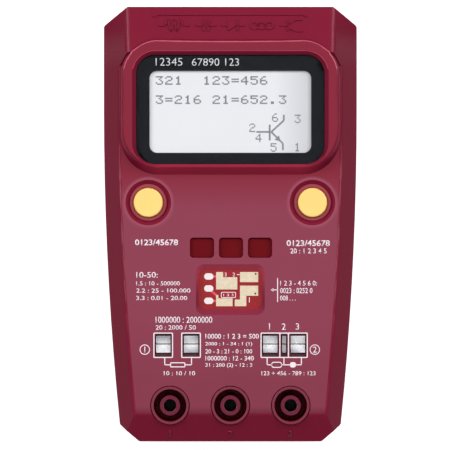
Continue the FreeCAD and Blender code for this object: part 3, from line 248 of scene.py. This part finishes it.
def make_shell():
    """Red moulding with painted light and shade: a face paler from a painted sheen, darker slopes from
    painted shade, painted highlights, and squares darkened by painted shade and left without a coat.
    """
    finish = Finish("shell_moulding", SHELL, 0.4, Coat_Roughness=0.17, Specular_IOR_Level=0.04)
    x, y, z = finish.parts()
    facing = finish.facing_up()
    cloud = finish.spread(finish.noise(CLOUD, 3.0), 0.0, 0.14)
    beside = finish.math("ABSOLUTE", x)
    from_button = finish.radius(finish.minus(beside, BUTTON_X * MM), finish.minus(y, BUTTON_Y * MM))

    # slopes and walls: painted shade, darker the steeper the surface
    slopes = finish.mix(finish.spread(facing, 0, 1, 0.72, 0.94), STEEP_SLOPE_SHADE, SHALLOW_SLOPE_SHADE)
    # painted light on the wall below the display window
    around_skirt = finish.under(finish.away(y, 16.4 * MM), 5.0 * MM)
    raised_part = finish.over(z, (DECK + 0.1) * MM)
    skirt = finish.times(finish.times(around_skirt, raised_part), finish.fall(beside, 22, 30))
    slopes = finish.mix(skirt, slopes, SKIRT_PAINTED_LIGHT)
    # painted light on the dish round each button
    slopes = finish.mix(finish.fall(from_button, 7.0, 7.6), slopes, DISH_PAINTED_LIGHT)
    # painted shade and light on the walls round the test board
    field = finish.times(finish.under(beside, 14 * MM),
                         finish.under(finish.away(y, -20 * MM), 8.5 * MM))
    walls = finish.mix(finish.rise(y, -22, -17), FIELD_WALL_SHADE, FIELD_WALL_LIGHT)
    slopes = finish.mix(field, slopes, walls)
    # painted highlight on the crest of the display surround
    crest = finish.times(finish.over(z, 33.4 * MM), finish.over(y, 49 * MM))
    slopes = finish.mix(crest, slopes, CREST_HIGHLIGHT)

    # level parts: the display surround, the printed face and the rings round the buttons. The face is
    # paler from a painted sheen that is weaker towards the bottom end; the raised surround is darker,
    # without the sheen
    raised = finish.mix(cloud, srgb(125, 23, 47), srgb(114, 18, 42))
    upper_face = finish.mix(cloud, srgb(131, 53, 73), srgb(119, 42, 63))
    lower_face = finish.mix(cloud, srgb(124, 47, 66), srgb(113, 37, 57))
    face = finish.mix(finish.fall(y, -50, -30), upper_face, lower_face)
    # painted shadow: the face darkens towards the raised display surround
    face = finish.mix(finish.rise(y, 4, 17), face, raised)
    # painted shade along the bend at the foot
    face = finish.mix(finish.rise(y, -60.1, -57.4), FOOT_BEND_SHADE, face)
    # painted highlights on the dish edge and on the lip round each cap
    face = finish.mix(finish.fall(from_button, 7.5, 8.4), face, DISH_EDGE_HIGHLIGHT)
    face = finish.mix(finish.fall(from_button, 5.6, 6.0), face, DISH_LIP_HIGHLIGHT)
    level = finish.mix(finish.rise(z, DECK + 0.5, DECK + 2), face, raised)
    # painted shade by facing: slopes darker, level parts lighter
    colour = finish.mix(finish.spread(facing, 0, 1, 0.965, 0.995), slopes, level)

    # floors of the three squares: painted shade darkens them, and they get no coat
    across = finish.under(beside, 13.6 * MM)
    along = finish.under(finish.away(y, SQUARES_Y * MM), 3.6 * MM)
    sunk = finish.times(finish.times(across, along), finish.under(z, (DECK - 0.4) * MM))
    deep = finish.mix(finish.noise(120, 2.0), srgb(94, 6, 14), srgb(104, 10, 20))
    coat = 0.2
    finish.wire(finish.mix(sunk, colour, deep), "Base Color")
    finish.wire(finish.times(finish.minus(1.0, sunk), coat), "Coat Weight")
    finish.rough(finish.noise(SHEEN, 4.0), 0.05)
    finish.bump(finish.noise(GRAIN, 3.0, roughness=0.6), 0.009)
    return finish


def make_button_plastic():
    """Yellow caps with painted shade that turns them orange down the side."""
    finish = Finish("button_moulding", srgb(239, 203, 116), 0.36, Specular_IOR_Level=0.3)
    # painted shade: the sides darker and orange
    side = finish.spread(finish.facing_up(), 1, 0, 0.35, 0.9)
    yellow = finish.tint(finish.noise(CLOUD, 3.0), 0.03)
    finish.wire(finish.mix(side, yellow, srgb(204, 80, 42)), "Base Color")
    finish.rough(finish.noise(SHEEN, 4.0), 0.05)
    finish.bump(finish.noise(GRAIN, 3.0, roughness=0.6), 0.006)
    return finish


def make_leaf_metal():
    """Tin plate with a painted highlight where a pair of leaves meets and painted reflections, greyer
    towards the lips.
    """
    finish = Finish("sprung_leaf", srgb(236, 236, 240), 0.28, Metallic=0.25)
    along = finish.parts()[1]
    # painted highlight where the leaves meet, painted reflection patches further out
    share = finish.rise(finish.away(along, PORT_Y * MM), 0.5, 2.2)
    reflection_patch = finish.spread(finish.noise(85, 1.0), 0, 1, 0.42, 0.58)
    outer = finish.mix(reflection_patch, srgb(176, 178, 186), srgb(246, 246, 250))
    finish.wire(finish.mix(share, srgb(248, 248, 250), outer), "Base Color")
    finish.rough(finish.noise(500, 2.0), 0.05)
    finish.bump(finish.noise(300, 1.0), 0.004)
    return finish


def make_sleeve():
    """Nickel at the mouth, with painted shade that turns it dark down the deep bore."""
    finish = Finish("nickel_sleeve", srgb(150, 148, 146), 0.24, Metallic=1.0)
    # painted shade down the bore
    near_mouth = finish.rise(finish.parts()[2], DECK - 3.0, DECK - 0.5)
    lines = finish.noise(900, 3.0, (1, 1, 0.05))
    bright = finish.mix(finish.spread(lines, 0, 1), srgb(140, 138, 136), srgb(164, 162, 160))
    finish.wire(finish.mix(near_mouth, srgb(14, 12, 12), bright), "Base Color")
    finish.rough(lines, 0.08)
    finish.bump(lines, 0.003)
    return finish


def make_jack_plastic():
    """The shell's plastic with painted shade on the core round the bore and painted light in the gap
    and the bore: a brighter, redder copy that keeps their shade red.
    """
    finish = Finish("jack_moulding", JACK_FACE, 0.4, Specular_IOR_Level=0.08)
    x, y, z = finish.parts()
    half_pitch = JACK_PITCH * MM / 2
    across = finish.node("ShaderNodeMath", {0: x, 1: half_pitch, 2: -half_pitch},
                         operation="WRAP").outputs[0]
    radius = finish.radius(across, finish.minus(y, JACK_Y * MM))
    gap = finish.times(finish.over(radius, 3.1 * MM), finish.under(radius, 5.25 * MM))
    bore = finish.under(radius, 2.2 * MM)
    below = finish.under(z, (DECK - 0.1) * MM)
    # painted light in the gap and the bore, painted shade on the core
    hollow = finish.times(finish.math("MAXIMUM", gap, bore), below)
    core = finish.under(radius, 3.3 * MM)
    plain = finish.mix(core, finish.tint(finish.noise(60, 3.0), 0.05), JACK_CORE_SHADE)
    finish.wire(finish.mix(hollow, plain, JACK_GAP_LIGHT), "Base Color")
    finish.rough(finish.noise(SHEEN, 4.0), 0.05)
    finish.bump(finish.noise(GRAIN, 3.0), 0.008)
    return finish


def make_board(name, mask, track, pitch):
    """Solder mask over tracks that show through as slightly raised, lighter lines."""
    finish = Finish(name, mask, 0.4, Specular_IOR_Level=0.25)
    lines = finish.node("ShaderNodeTexBrick", {
        "Vector": finish.place, "Scale": pitch, "Mortar Size": 0.035,
        "Color1": BLACK, "Color2": BLACK, "Mortar": WHITE,
        "Row Height": 0.4, "Brick Width": 1.3,
    }).outputs["Color"]
    darker = tuple(c * 0.85 for c in mask[:3]) + (1,)
    base = finish.mix(finish.spread(finish.noise(300, 3.0), 0, 1), darker, mask)
    finish.wire(finish.mix(lines, base, track), "Base Color")
    finish.rough(finish.noise(500, 2.0), 0.06)
    finish.bump(lines, 0.03)
    return finish


def make_pad_metal():
    """Gold-flashed copper with dull, uneven solder, and paler ovals at the left."""
    finish = Finish("pad_plating", srgb(208, 194, 168), 0.45, Metallic=0.1)
    land = finish.tint(finish.noise(900, 3.0), 0.07)
    ovals = finish.under(finish.parts()[0], -5.2 * MM)
    finish.wire(finish.mix(ovals, land, srgb(222, 214, 214)), "Base Color")
    finish.rough(finish.noise(1300, 2.0), 0.12)
    finish.bump(finish.noise(1500, 2.0), 0.03)
    return finish


def make_window():
    """Clear plate: what lies behind shows through, and only the surface reflects."""
    finish = Finish("window_plate", srgb(8, 8, 10), 0.07, IOR=1.3)
    finish.rough(finish.noise(80, 2.0), 0.02)
    clear = finish.node("ShaderNodeBsdfTransparent", {"Color": (0.97, 0.975, 0.98, 1)})
    slant = finish.node("ShaderNodeLayerWeight", {"Blend": 0.5}).outputs["Facing"]
    share = finish.plus(finish.times(finish.math("POWER", slant, 5.0), 0.95), 0.017)
    blend = finish.node("ShaderNodeMixShader", {
        0: share, 1: clear.outputs[0], 2: finish.shader.outputs[0]})
    surface = finish.tree.nodes["Material Output"].inputs[0]
    finish.tree.links.new(blend.outputs[0], surface)
    return finish


def make_display_cell():
    """Pale cell, lit a little from behind, with the faint grid of its dots."""
    finish = Finish("display_cell", srgb(232, 235, 232), 0.6)
    dot_pitch = 0.373 * MM
    dots = finish.node("ShaderNodeTexBrick", {
        "Vector": finish.place, "Scale": 1 / dot_pitch, "Mortar Size": 0.06,
        "Color1": WHITE, "Color2": WHITE, "Mortar": BLACK,
        "Row Height": 1.0, "Brick Width": 1.0,
    }, offset=0.0).outputs["Color"]
    cloud = finish.spread(finish.noise(30, 2.0), 0.0, 0.25)
    pale = finish.mix(cloud, srgb(218, 216, 218), srgb(207, 205, 208))
    grid = finish.mix(dots, srgb(203, 204, 208), pale)
    shade = finish.rise(finish.parts()[0], 14, 27)
    colour = finish.mix(shade, grid, srgb(184, 183, 186))
    finish.wire(colour, "Base Color")
    finish.wire(colour, "Emission Color")
    finish.shader.inputs["Emission Strength"].default_value = 0.25
    return finish


def make_battery_jacket():
    """A plain dark sleeve with a lighter band near the snaps."""
    finish = Finish("battery_jacket", JACKET, 0.35, Coat_Weight=0.4, Coat_Roughness=0.15)
    band = finish.over(finish.parts()[0], 8 * MM)
    finish.wire(finish.mix(band, JACKET, srgb(150, 112, 60)), "Base Color")
    finish.rough(finish.noise(300, 2.0), 0.05)
    finish.bump(finish.noise(700, 2.0), 0.01)
    return finish


shell = make_shell()
shell_low = moulded("shell_back_moulding", srgb(106, 15, 40), 0.4, Coat_Weight=0.18,
                    Coat_Roughness=0.17, Specular_IOR_Level=0.04)
button = make_button_plastic()
black = moulded("black_moulding", srgb(24, 22, 24), 0.5, depth=0.01)
port = moulded("port_moulding", srgb(96, 24, 44), 0.5, depth=0.01)
white_part = moulded("white_moulding", srgb(228, 228, 222), 0.5, depth=0.006)
resistor_coat = moulded("resistor_lacquer", srgb(120, 150, 170), 0.3, depth=0.006)
foam = moulded("foam_skin", srgb(38, 38, 40), 0.9, grain=1100, depth=0.15, tint=0.2)
print_ink = moulded("printing_ink", srgb(232, 218, 226), 0.55, grain=5200, depth=0.004, tint=0.03)
label = moulded("label_film", srgb(196, 196, 194), 0.38, depth=0.003, tint=0.02)
tinned = metal("tinned_strip", srgb(226, 225, 226), 0.3, (1, 0.06, 1))
leaf_metal = make_leaf_metal()
steel = metal("plated_steel", srgb(176, 176, 180), 0.3, (1, 1, 0.1), scale=600)
sleeve = make_sleeve()
can = metal("drawn_can", srgb(188, 188, 192), 0.36, (1, 1, 0.05))
dark_sheet = metal("blackened_sheet", srgb(44, 44, 46), 0.45, (0.08, 1, 1))
jack_plastic = make_jack_plastic()
green_board = make_board("green_board", srgb(14, 74, 44), srgb(38, 112, 66), 210)
red_board = make_board("red_board", srgb(146, 12, 22), srgb(156, 20, 30), 330)
red_track = moulded("masked_track", srgb(206, 60, 76), 0.34, grain=1800, depth=0.004, tint=0.04)
pad_metal = make_pad_metal()
window_plate = make_window()
window_print = moulded("window_print", srgb(206, 208, 212), 0.5, grain=5200, depth=0.003, tint=0.03)
window_ink = moulded("window_ink", srgb(19, 20, 26), 0.4, grain=5200, depth=0.002, tint=0.02,
                     Specular_IOR_Level=0.1)
display_cell = make_display_cell()
display_ink = moulded("display_dots", srgb(136, 136, 142), 0.5, grain=5200, depth=0.002, tint=0.02)
battery_jacket = make_battery_jacket()

NODE_FINISH = {
    "front_shell": shell, "rear_shell": shell_low, "battery_door": shell_low,
    "door_screws": steel, "case_screws": steel, "board_screws": steel,
    "battery": battery_jacket, "battery_terminals": tinned, "snap_plate": black,
    "battery_contacts": tinned, "battery_pad": foam, "window_tape": foam,
    "window_border": window_ink, "display_window": window_plate,
    "lcd_board": green_board, "lcd_frame": dark_sheet, "lcd_backlight": white_part,
    "lcd_glass": display_cell, "lcd_standoffs": white_part, "lcd_header": black,
    "main_board": green_board, "microcontroller": black, "microcontroller_leads": tinned,
    "crystal": can, "voltage_regulator": black, "filter_capacitors": can,
    "chip_resistors": black, "discharge_resistor": resistor_coat,
    "test_board": red_board, "test_pads": pad_metal, "test_board_pins": tinned,
    "left_button": button, "right_button": button, "left_switch": black, "right_switch": black,
    "left_switch_stem": black, "right_switch_stem": black,
    "port_1_block": port, "port_2_block": port, "port_1_contacts": leaf_metal,
    "port_2_contacts": leaf_metal,
    "jack_board": green_board, "board_link": black, "rear_label": label,
    "jack_1_body": jack_plastic, "jack_2_body": jack_plastic, "jack_3_body": jack_plastic,
    "jack_1_contact": sleeve, "jack_2_contact": sleeve, "jack_3_contact": sleeve,
}
for name, node in nodes.items():
    node.data.materials.clear()
    node.data.materials.append(NODE_FINISH[name].material)


# ---- thin printed and raised marks, drawn in millimetres ----

def arc(x, y, radius, start, turn, steps):
    """Points along an arc, with both its ends; the angles are in degrees."""
    angles = [math.radians(start + turn * step / steps) for step in range(steps + 1)]
    return [(x + radius * math.cos(angle), y + radius * math.sin(angle)) for angle in angles]


def round_outline(x, y, radius, count):
    return arc(x, y, radius, 0, 360, count)[:-1]


def rounded(left, right, low, high, radius, steps=5):
    """Points of a rounded rectangle, anticlockwise."""
    return (arc(right - radius, low + radius, radius, -90, 90, steps)
            + arc(right - radius, high - radius, radius, 0, 90, steps)
            + arc(left + radius, high - radius, radius, 90, 90, steps)
            + arc(left + radius, low + radius, radius, 180, 90, steps))


class Marks:
    """A set of thin closed plates that share one mesh."""

    def __init__(self, level, rise=PRINT_RISE, sink=PRINT_SINK):
        self.mesh = bmesh.new()
        self.low = level - sink
        self.high = level + rise

    def row(self, points, level):
        return [self.mesh.verts.new((x, y, level)) for x, y in points]

    def plate(self, points):
        """A plate with an anticlockwise outline."""
        low, high = self.row(points, self.low), self.row(points, self.high)
        self.mesh.faces.new(high)
        self.mesh.faces.new(low[::-1])
        for a in range(len(points)):
            b = (a + 1) % len(points)
            self.mesh.faces.new((low[a], low[b], high[b], high[a]))

    def bar(self, left, right, low, high):
        self.plate([(left, low), (right, low), (right, high), (left, high)])

    def line(self, start, end, width):
        """A straight line with square ends."""
        start, end = Vector(start), Vector(end)
        side = (end - start).orthogonal().normalized() * (width / 2)
        points = [start - side, end - side, end + side, start + side]
        area = sum(a.x * b.y - b.x * a.y for a, b in zip(points, points[1:] + points[:1]))
        self.plate(points if area > 0 else points[::-1])

    def path(self, points, width):
        for start, end in zip(points, points[1:]):
            self.line(start, end, width)

    def ring(self, outer, inner):
        """A closed band between two outlines with the same number of points."""
        rows = [self.row(outer, self.low), self.row(outer, self.high),
                self.row(inner, self.high), self.row(inner, self.low)]
        for here, after in zip(rows, rows[1:] + rows[:1]):
            for a in range(len(outer)):
                b = (a + 1) % len(outer)
                self.mesh.faces.new((here[a], here[b], after[b], after[a]))

    def frame_line(self, left, right, low, high, width, corner):
        """A rounded rectangle's outline, drawn outwards from the given box."""
        self.ring(rounded(left - width, right + width, low - width, high + width, corner + width),
                  rounded(left, right, low, high, corner))

    def circle(self, x, y, radius, width, count=40):
        """A circle's outline, drawn inwards from the given radius."""
        self.ring(round_outline(x, y, radius, count), round_outline(x, y, radius - width, count))

    def disc(self, x, y, radius, count=28):
        self.plate(round_outline(x, y, radius, count))

    def text(self, words, left, right, low, high, weight=0.0):
        """Figures and signs stretched to fill a box; a single one keeps its own width."""
        curve = bpy.data.curves.new("words", "FONT")
        curve.body = words
        curve.size = 1.0
        curve.offset = weight
        curve.resolution_u = 4
        letters = bpy.data.objects.new("words", curve)
        bpy.context.scene.collection.objects.link(letters)
        bpy.context.view_layer.update()
        flat = bpy.data.meshes.new_from_object(letters)
        bpy.data.objects.remove(letters)
        bpy.data.curves.remove(curve)
        xs = [v.co.x for v in flat.vertices]
        ys = [v.co.y for v in flat.vertices]
        scale_x = (right - left) / (max(xs) - min(xs))
        scale_y = (high - low) / (max(ys) - min(ys))
        if len(words) == 1:
            middle, scale_x = (left + right) / 2, scale_y
            left = middle - scale_x * (max(xs) - min(xs)) / 2
        letters = bmesh.new()
        letters.from_mesh(flat)
        bpy.data.meshes.remove(flat)
        bmesh.ops.remove_doubles(letters, verts=letters.verts, dist=1e-5)
        for vert in letters.verts:
            vert.co = Vector((left + (vert.co.x - min(xs)) * scale_x,
                              low + (vert.co.y - min(ys)) * scale_y, self.high))
        bmesh.ops.recalc_face_normals(letters, faces=letters.faces)
        top = list(letters.faces)
        for face in top:
            if face.normal.z < 0:
                face.normal_flip()
        extruded = bmesh.ops.extrude_face_region(letters, geom=top)
        for item in extruded["geom"]:
            if isinstance(item, bmesh.types.BMVert):
                item.co.z = self.low
        bmesh.ops.recalc_face_normals(letters, faces=letters.faces)
        solid = bpy.data.meshes.new("solid_words")
        letters.to_mesh(solid)
        letters.free()
        self.mesh.from_mesh(solid)
        bpy.data.meshes.remove(solid)

    def finish(self, name, finish, slot, turn=None):
        """Turn the plates into one object, in metres."""
        bmesh.ops.recalc_face_normals(self.mesh, faces=self.mesh.faces)
        if turn:
            self.mesh.transform(turn)
        self.mesh.transform(Matrix.Scale(MM, 4))
        mesh = bpy.data.meshes.new(name)
        self.mesh.to_mesh(mesh)
        self.mesh.free()
        mesh.materials.append(finish.material)
        piece = bpy.data.objects.new(name, mesh)
        bpy.context.scene.collection.objects.link(piece)
        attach(piece, "case")


def print_labels():
    """Generic figures stand where the face has words."""
    marks = Marks(DECK)
    bold, medium, light, thin = 0.022, 0.016, 0.012, 0.004
    rows = (
        # words, left, right, low, high, weight
        ("0123/45678", -30.1, -16.5, -6.6, -4.65, bold),
        ("0123/45678", 17.75, 31.4, -6.85, -4.9, bold),
        ("20 : 1 2 3 4 5", 18.9, 30.4, -9.15, -7.5, light),
        ("10-50:", -29.7, -22.9, -16.8, -14.95, light),
        ("1.5 : 10 - 500000", -29.7, -15.9, -19.25, -17.9, light),
        ("2.2 : 25 - 100.000", -29.7, -12.6, -21.5, -20.15, light),
        ("3.3 : 0.01 - 20.00", -29.7, -13.6, -23.85, -22.5, light),
        ("1 2 3 - 4 5 6 0:", 15.7, 27.3, -19.3, -17.7, light),
        ("0023 : 0252 0", 15.7, 25.9, -21.7, -20.0, light),
        ("008 . . .", 15.7, 20.6, -24.0, -22.4, light),
        ("1000000 : 2000000", -23.6, -5.7, -31.05, -29.05, light),
        ("20 : 2000 / 50", -23.6, -10.9, -33.2, -31.75, light),
        ("10000 : 1 2 3 = 500", -7.9, 9.0, -36.05, -34.45, medium),
        ("2000 : 1 - 34 : 1 (1)", -7.9, 6.9, -38.5, -37.05, medium),
        ("20 - 3 : 21 - 0 : 100", -7.9, 6.9, -40.7, -39.3, medium),
        ("1000000 : 12 - 340", -7.9, 7.4, -42.95, -41.45, medium),
        ("31 : 200 (2) - 12 : 3", -7.9, 6.9, -45.25, -43.7, medium),
        ("10 : 10 / 10", -21.0, -11.1, -47.6, -46.25, light),
        ("123 + 456 - 789 : 123", 9.8, 26.9, -47.6, -46.25, light),
        ("1", 11.7, 13.0, -33.2, -31.15, thin),
        ("2", 16.2, 17.5, -33.2, -31.15, thin),
        ("3", 20.5, 21.8, -33.2, -31.15, thin),
        ("1", -27.6, -26.4, -40.4, -38.5, thin),
        ("2", 26.05, 27.25, -40.4, -38.5, thin),
    )
    for words, left, right, low, high, weight in rows:
        marks.text(words, left, right, low, high, weight)
    # circles round the numbers of the two ports
    for x in (-27.0, 26.65):
        marks.circle(x, -39.45, 1.62, 0.24)
    # a bar with an arrow that points to the pads
    bar_x, arrow_y, pen = 14.9, -20.6, 0.28
    marks.line((bar_x, -16.9), (bar_x, -24.4), pen)
    marks.line((13.1, arrow_y), (bar_x, arrow_y), pen)
    marks.plate([(12.7, arrow_y), (13.6, arrow_y - 0.55), (13.6, arrow_y + 0.55)])
    marks.finish("printed_figures", print_ink, "label_film")


def print_ports():
    """White frames round the contact slots, and a symbol of what joins them."""
    marks = Marks(DECK)
    low, high, frame_pen, frame_corner = -41.75, -34.4, 0.33, 0.08
    for left, right in ((-23.95, -18.4), (-15.18, -9.63), (9.85, 24.1)):
        marks.frame_line(left, right, low, high, frame_pen, frame_corner)
    for x in (15.62, 18.32):
        marks.bar(x - 0.16, x + 0.16, low, high)
    start, middle, pen, box_pen = -42.1, -44.25, 0.32, 0.3
    # the resistor below port 1
    marks.path([(-20.7, start), (-20.7, middle), (-18.95, middle)], pen)
    marks.path([(-12.25, start), (-12.25, middle), (-14.25, middle)], pen)
    marks.frame_line(-18.7, -14.5, middle - 0.5, middle + 0.5, box_pen, 0.05)
    # the three-legged part below port 2
    marks.path([(11.6, start), (11.6, middle), (13.2, middle)], pen)
    marks.path([(22.4, start), (22.4, middle), (20.6, middle)], pen)
    marks.path([(16.9, start), (16.9, middle)], pen)
    marks.frame_line(13.2, 16.0, middle - 0.65, middle + 0.65, box_pen, 0.5)
    marks.line((16.0, middle), (18.9, middle), pen)
    marks.plate(rounded(18.8, 20.7, middle - 0.85, middle + 0.85, 0.7))
    marks.finish("printed_frames", print_ink, "label_film")


def print_field():
    """Fine printing on the test board: numbers, a box and a dash."""
    marks = Marks(FIELD, rise=0.03, sink=0.02)
    marks.frame_line(-2.75, 1.55, -22.95, -21.5, 0.2, 0.1)
    marks.text("1 2 3", -2.2, 1.0, -22.65, -21.85, 0.01)
    marks.text("3", -2.0, -1.0, -16.4, -15.2)
    marks.text("2", 0.6, 1.6, -16.4, -15.2)
    marks.line((2.1, -15.8), (2.9, -15.8), 0.25)
    marks.text("1", 5.6, 6.4, -24.6, -23.0)
    marks.finish("printed_field_marks", print_ink, "label_film")


def lay_tracks():
    """Copper tracks that show pale through the mask."""
    marks = Marks(FIELD, rise=0.02, sink=0.02)
    width = 0.7
    marks.line((-5.6, -16.4), (-4.4, -16.4), width)
    marks.line((-6.2, -20.9), (-4.3, -22.4), width)
    marks.line((-5.6, -24.1), (-4.4, -24.1), width)
    marks.finish("board_tracks", red_track, "board_red")


def make_pad_holes():
    """Black discs painted as the shade in two holes of the pads."""
    pad_thickness = 0.08
    marks = Marks(FIELD + pad_thickness, rise=0.012, sink=0.03)
    for x, y in ((8.0, -15.6), (7.9, -21.8)):
        marks.disc(x, y, 0.3)
    marks.finish("pad_holes", black, "black_plastic")


def print_window():
    """A row of plain figures above the display."""
    marks = Marks(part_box("display_window")[1].z / MM, rise=0.02, sink=0.02)
    marks.text("12345", -23.5, -15.1, 49.95, 52.45, -0.006)
    marks.text("67890 123", -12.1, 2.7, 49.95, 52.3, -0.006)
    marks.finish("window_figures", window_print, "label_film")


# figures of 5 by 7 dots, with one group for each row from the top down
DOT_FIGURES = {
    "1": "..#.. .##.. ..#.. ..#.. ..#.. ..#.. .###.",
    "2": ".###. #...# ....# ..##. .#... #.... #####",
    "3": "##### ...#. ..#.. ...#. ....# #...# .###.",
    "4": "...#. ..##. .#.#. #..#. ##### ...#. ...#.",
    "5": "##### #.... ####. ....# ....# #...# .###.",
    "6": "..##. .#... #.... ####. #...# #...# .###.",
    "=": "..... ..... ##### ..... ##### ..... .....",
    ".": "..... ..... ..... ..... ..... .##.. .##..",
    " ": "..... ..... ..... ..... ..... ..... .....",
}


def show_display():
    """Rows of figures and a transistor symbol in dark dots."""
    marks = Marks(GLASS, rise=0.02, sink=0.01)
    dot_width, dot_height, figure_pitch = 0.46, 0.385, 2.987
    line_left = -23.55
    for words, top in (("321  123=456", 46.75), ("3=216 21=652.3", 40.7)):
        for place, sign in enumerate(words):
            left = line_left + place * figure_pitch
            for row, dots in enumerate(DOT_FIGURES[sign].split()):
                low = top - (row + 1) * dot_height
                run = 0
                for column, dot in enumerate(dots + "."):
                    if dot == "#":
                        run += 1
                    elif run:
                        right = left + column * dot_width
                        marks.bar(right - run * dot_width, right + 0.06,
                                  low - 0.03, low + dot_height + 0.04)
                        run = 0
    # the transistor symbol, with its arrow head a little prouder than its lines
    pen, base_y, proud = 0.58, 29.2, 0.01
    marks.line((8.2, base_y), (12.3, base_y), pen)
    marks.bar(12.1, 12.7, 26.5, 31.5)
    marks.path([(12.9, base_y), (16.85, 32.8), (16.85, 34.6)], pen)
    marks.path([(12.9, base_y), (16.55, 25.55), (16.55, 23.45)], pen)
    marks.high += proud
    marks.plate([(15.95, 26.1), (15.3, 28.1), (13.9, 26.75)])
    marks.high -= proud
    # single figures round the symbol, in narrower dots
    narrow = 0.38
    for sign, x, y in (("2", 6.9, 30.5), ("4", 8.9, 27.3), ("6", 14.1, 33.7), ("3", 21.2, 33.3),
                       ("5", 13.6, 24.3), ("1", 21.1, 24.4)):
        for row, dots in enumerate(DOT_FIGURES[sign].split()):
            low = y + (2.5 - row) * dot_height
            for column, dot in enumerate(dots):
                if dot == "#":
                    left = x + (column - 2.5) * narrow
                    marks.bar(left, left + narrow + 0.01, low, low + dot_height + 0.01)
    marks.finish("display_figures", display_ink, "lcd_cell")


def raise_top_symbols():
    """A moulded row of circuit symbols inside a half frame on the top slope."""
    marks = Marks(0, rise=0.4, sink=0.3)
    pen, frame_pen, frame_y = 0.62, 0.6, 2.9
    marks.line((-23.0, frame_y), (23.0, frame_y), frame_pen)
    for side in (-1, 1):
        marks.line((23.0 * side, frame_y), (24.2 * side, 2.1), frame_pen)
    y, half = -0.7, 1.9
    # resistor
    zigzag = [(-20.6 + 0.95 * n, y + (half if n % 2 else -half)) for n in range(1, 6)]
    marks.path([(-22.6, y), (-20.6, y)] + zigzag + [(-14.9, y), (-12.9, y)], pen)
    # capacitor
    marks.line((-10.9, y), (-8.4, y), pen)
    for x in (-8.4, -6.9):
        marks.line((x, y - half), (x, y + half), pen)
    marks.line((-6.9, y), (-4.4, y), pen)
    # diode
    marks.line((-2.8, y), (-0.7, y), pen)
    marks.plate([(-0.8, y - half), (2.0, y), (-0.8, y + half)])
    marks.line((2.3, y - half), (2.3, y + half), pen)
    marks.line((2.3, y), (4.5, y), pen)
    # coil
    for x in (7.5, 9.9, 12.3):
        marks.circle(x, y, 1.5, pen, 28)
    # transistor
    marks.line((15.6, y), (18.1, y), pen)
    marks.line((18.1, y - half), (18.1, y + half), pen)
    for side in (-1, 1):
        end_y = y + half * side
        marks.path([(18.1, y + 0.45 * side), (20.6, end_y), (22.6, end_y)], pen)
    slope = math.atan2(HEAD_DROP, CASE_END - HEAD_SLOPE_Y)
    along = 63.4
    level = DECK + (CASE_END - along) * math.tan(slope)
    place = Matrix.Translation((0, along, level)) @ Matrix.Rotation(-slope, 4, "X")
    marks.finish("raised_top_symbols", shell, "shell_plastic", place)


def raise_jack_numbers():
    """Small raised numbers on the slope below the jacks."""
    marks = Marks(0, rise=0.22, sink=0.3)
    half_width, half_height = 0.7, 1.2
    for number, x in enumerate((-JACK_PITCH, 0.0, JACK_PITCH), start=1):
        marks.text(str(number), x - half_width, x + half_width, -half_height, half_height, 0.03)
    slope = math.atan2(FOOT_DROP, CASE_END + FOOT_SLOPE_Y)
    along = -66.2
    level = DECK - (FOOT_SLOPE_Y - along) * math.tan(slope)
    place = Matrix.Translation((0, along, level)) @ Matrix.Rotation(slope, 4, "X")
    marks.finish("raised_jack_numbers", shell, "shell_plastic", place)


print_labels()
print_ports()
print_field()
lay_tracks()
make_pad_holes()
print_window()
show_display()
raise_top_symbols()
raise_jack_numbers()


# ---- floor, light and camera, in metres ----

def make_floor():
    """A white floor a hair below the base, so that the two don't share a plane."""
    finish = Finish("floor_paint", (0.42, 0.42, 0.42, 1), 0.9, Emission_Color=WHITE,
                    Emission_Strength=0.88)
    finish.tint(finish.noise(8, 2.0), 0.01)
    size = 4.0
    level = -0.05 * MM
    corners = [(-size, -size, level), (size, -size, level), (size, size, level), (-size, size, level)]
    mesh = bpy.data.meshes.new("floor")
    mesh.from_pydata(corners, [], [(0, 1, 2, 3)])
    floor = bpy.data.objects.new("floor", mesh)
    mesh.materials.append(finish.material)
    bpy.context.scene.collection.objects.link(floor)


def make_light(name, power, width, height, place):
    """A soft box that faces the middle of the case."""
    lamp = bpy.data.lights.new(name, "AREA")
    lamp.shape = "RECTANGLE"
    lamp.size = width
    lamp.size_y = height
    lamp.energy = power
    item = bpy.data.objects.new(name, lamp)
    item.location = place
    aim = Vector((0, 0, 0.02)) - Vector(place)
    item.rotation_euler = aim.to_track_quat("-Z", "Y").to_euler()
    bpy.context.scene.collection.objects.link(item)


def make_world():
    """Weak, even white light from all sides."""
    world = bpy.data.worlds.new("studio")
    world.use_nodes = True
    background = world.node_tree.nodes["Background"].inputs
    background["Color"].default_value = WHITE
    background["Strength"].default_value = 0.25
    bpy.context.scene.world = world


def make_camera():
    """Looking straight down from far away, so that the picture is almost without perspective."""
    view_width = 0.14196
    x, y = -0.00169, -0.00014
    focal, sensor = 300.0, 36.0
    lens = bpy.data.cameras.new("camera")
    lens.lens = focal
    lens.sensor_width = sensor
    lens.clip_end = 20
    camera = bpy.data.objects.new("camera", lens)
    camera.location = (x, y, DECK * MM + view_width * focal / sensor)
    bpy.context.scene.collection.objects.link(camera)
    bpy.context.scene.camera = camera


make_floor()
make_light("left_box", 10.5, 0.7, 0.7, (-0.95, 0.5, 0.95))
make_light("right_box", 10.5, 0.7, 0.7, (0.95, 0.5, 0.95))
make_light("overhead_box", 3.6, 0.9, 0.9, (0, 0, 1.4))
make_light("crest_strip", 3.6, 1.2, 0.05, (0, 0.42, 1.3))
make_world()
bpy.context.scene.view_settings.view_transform = "Standard"
make_camera()
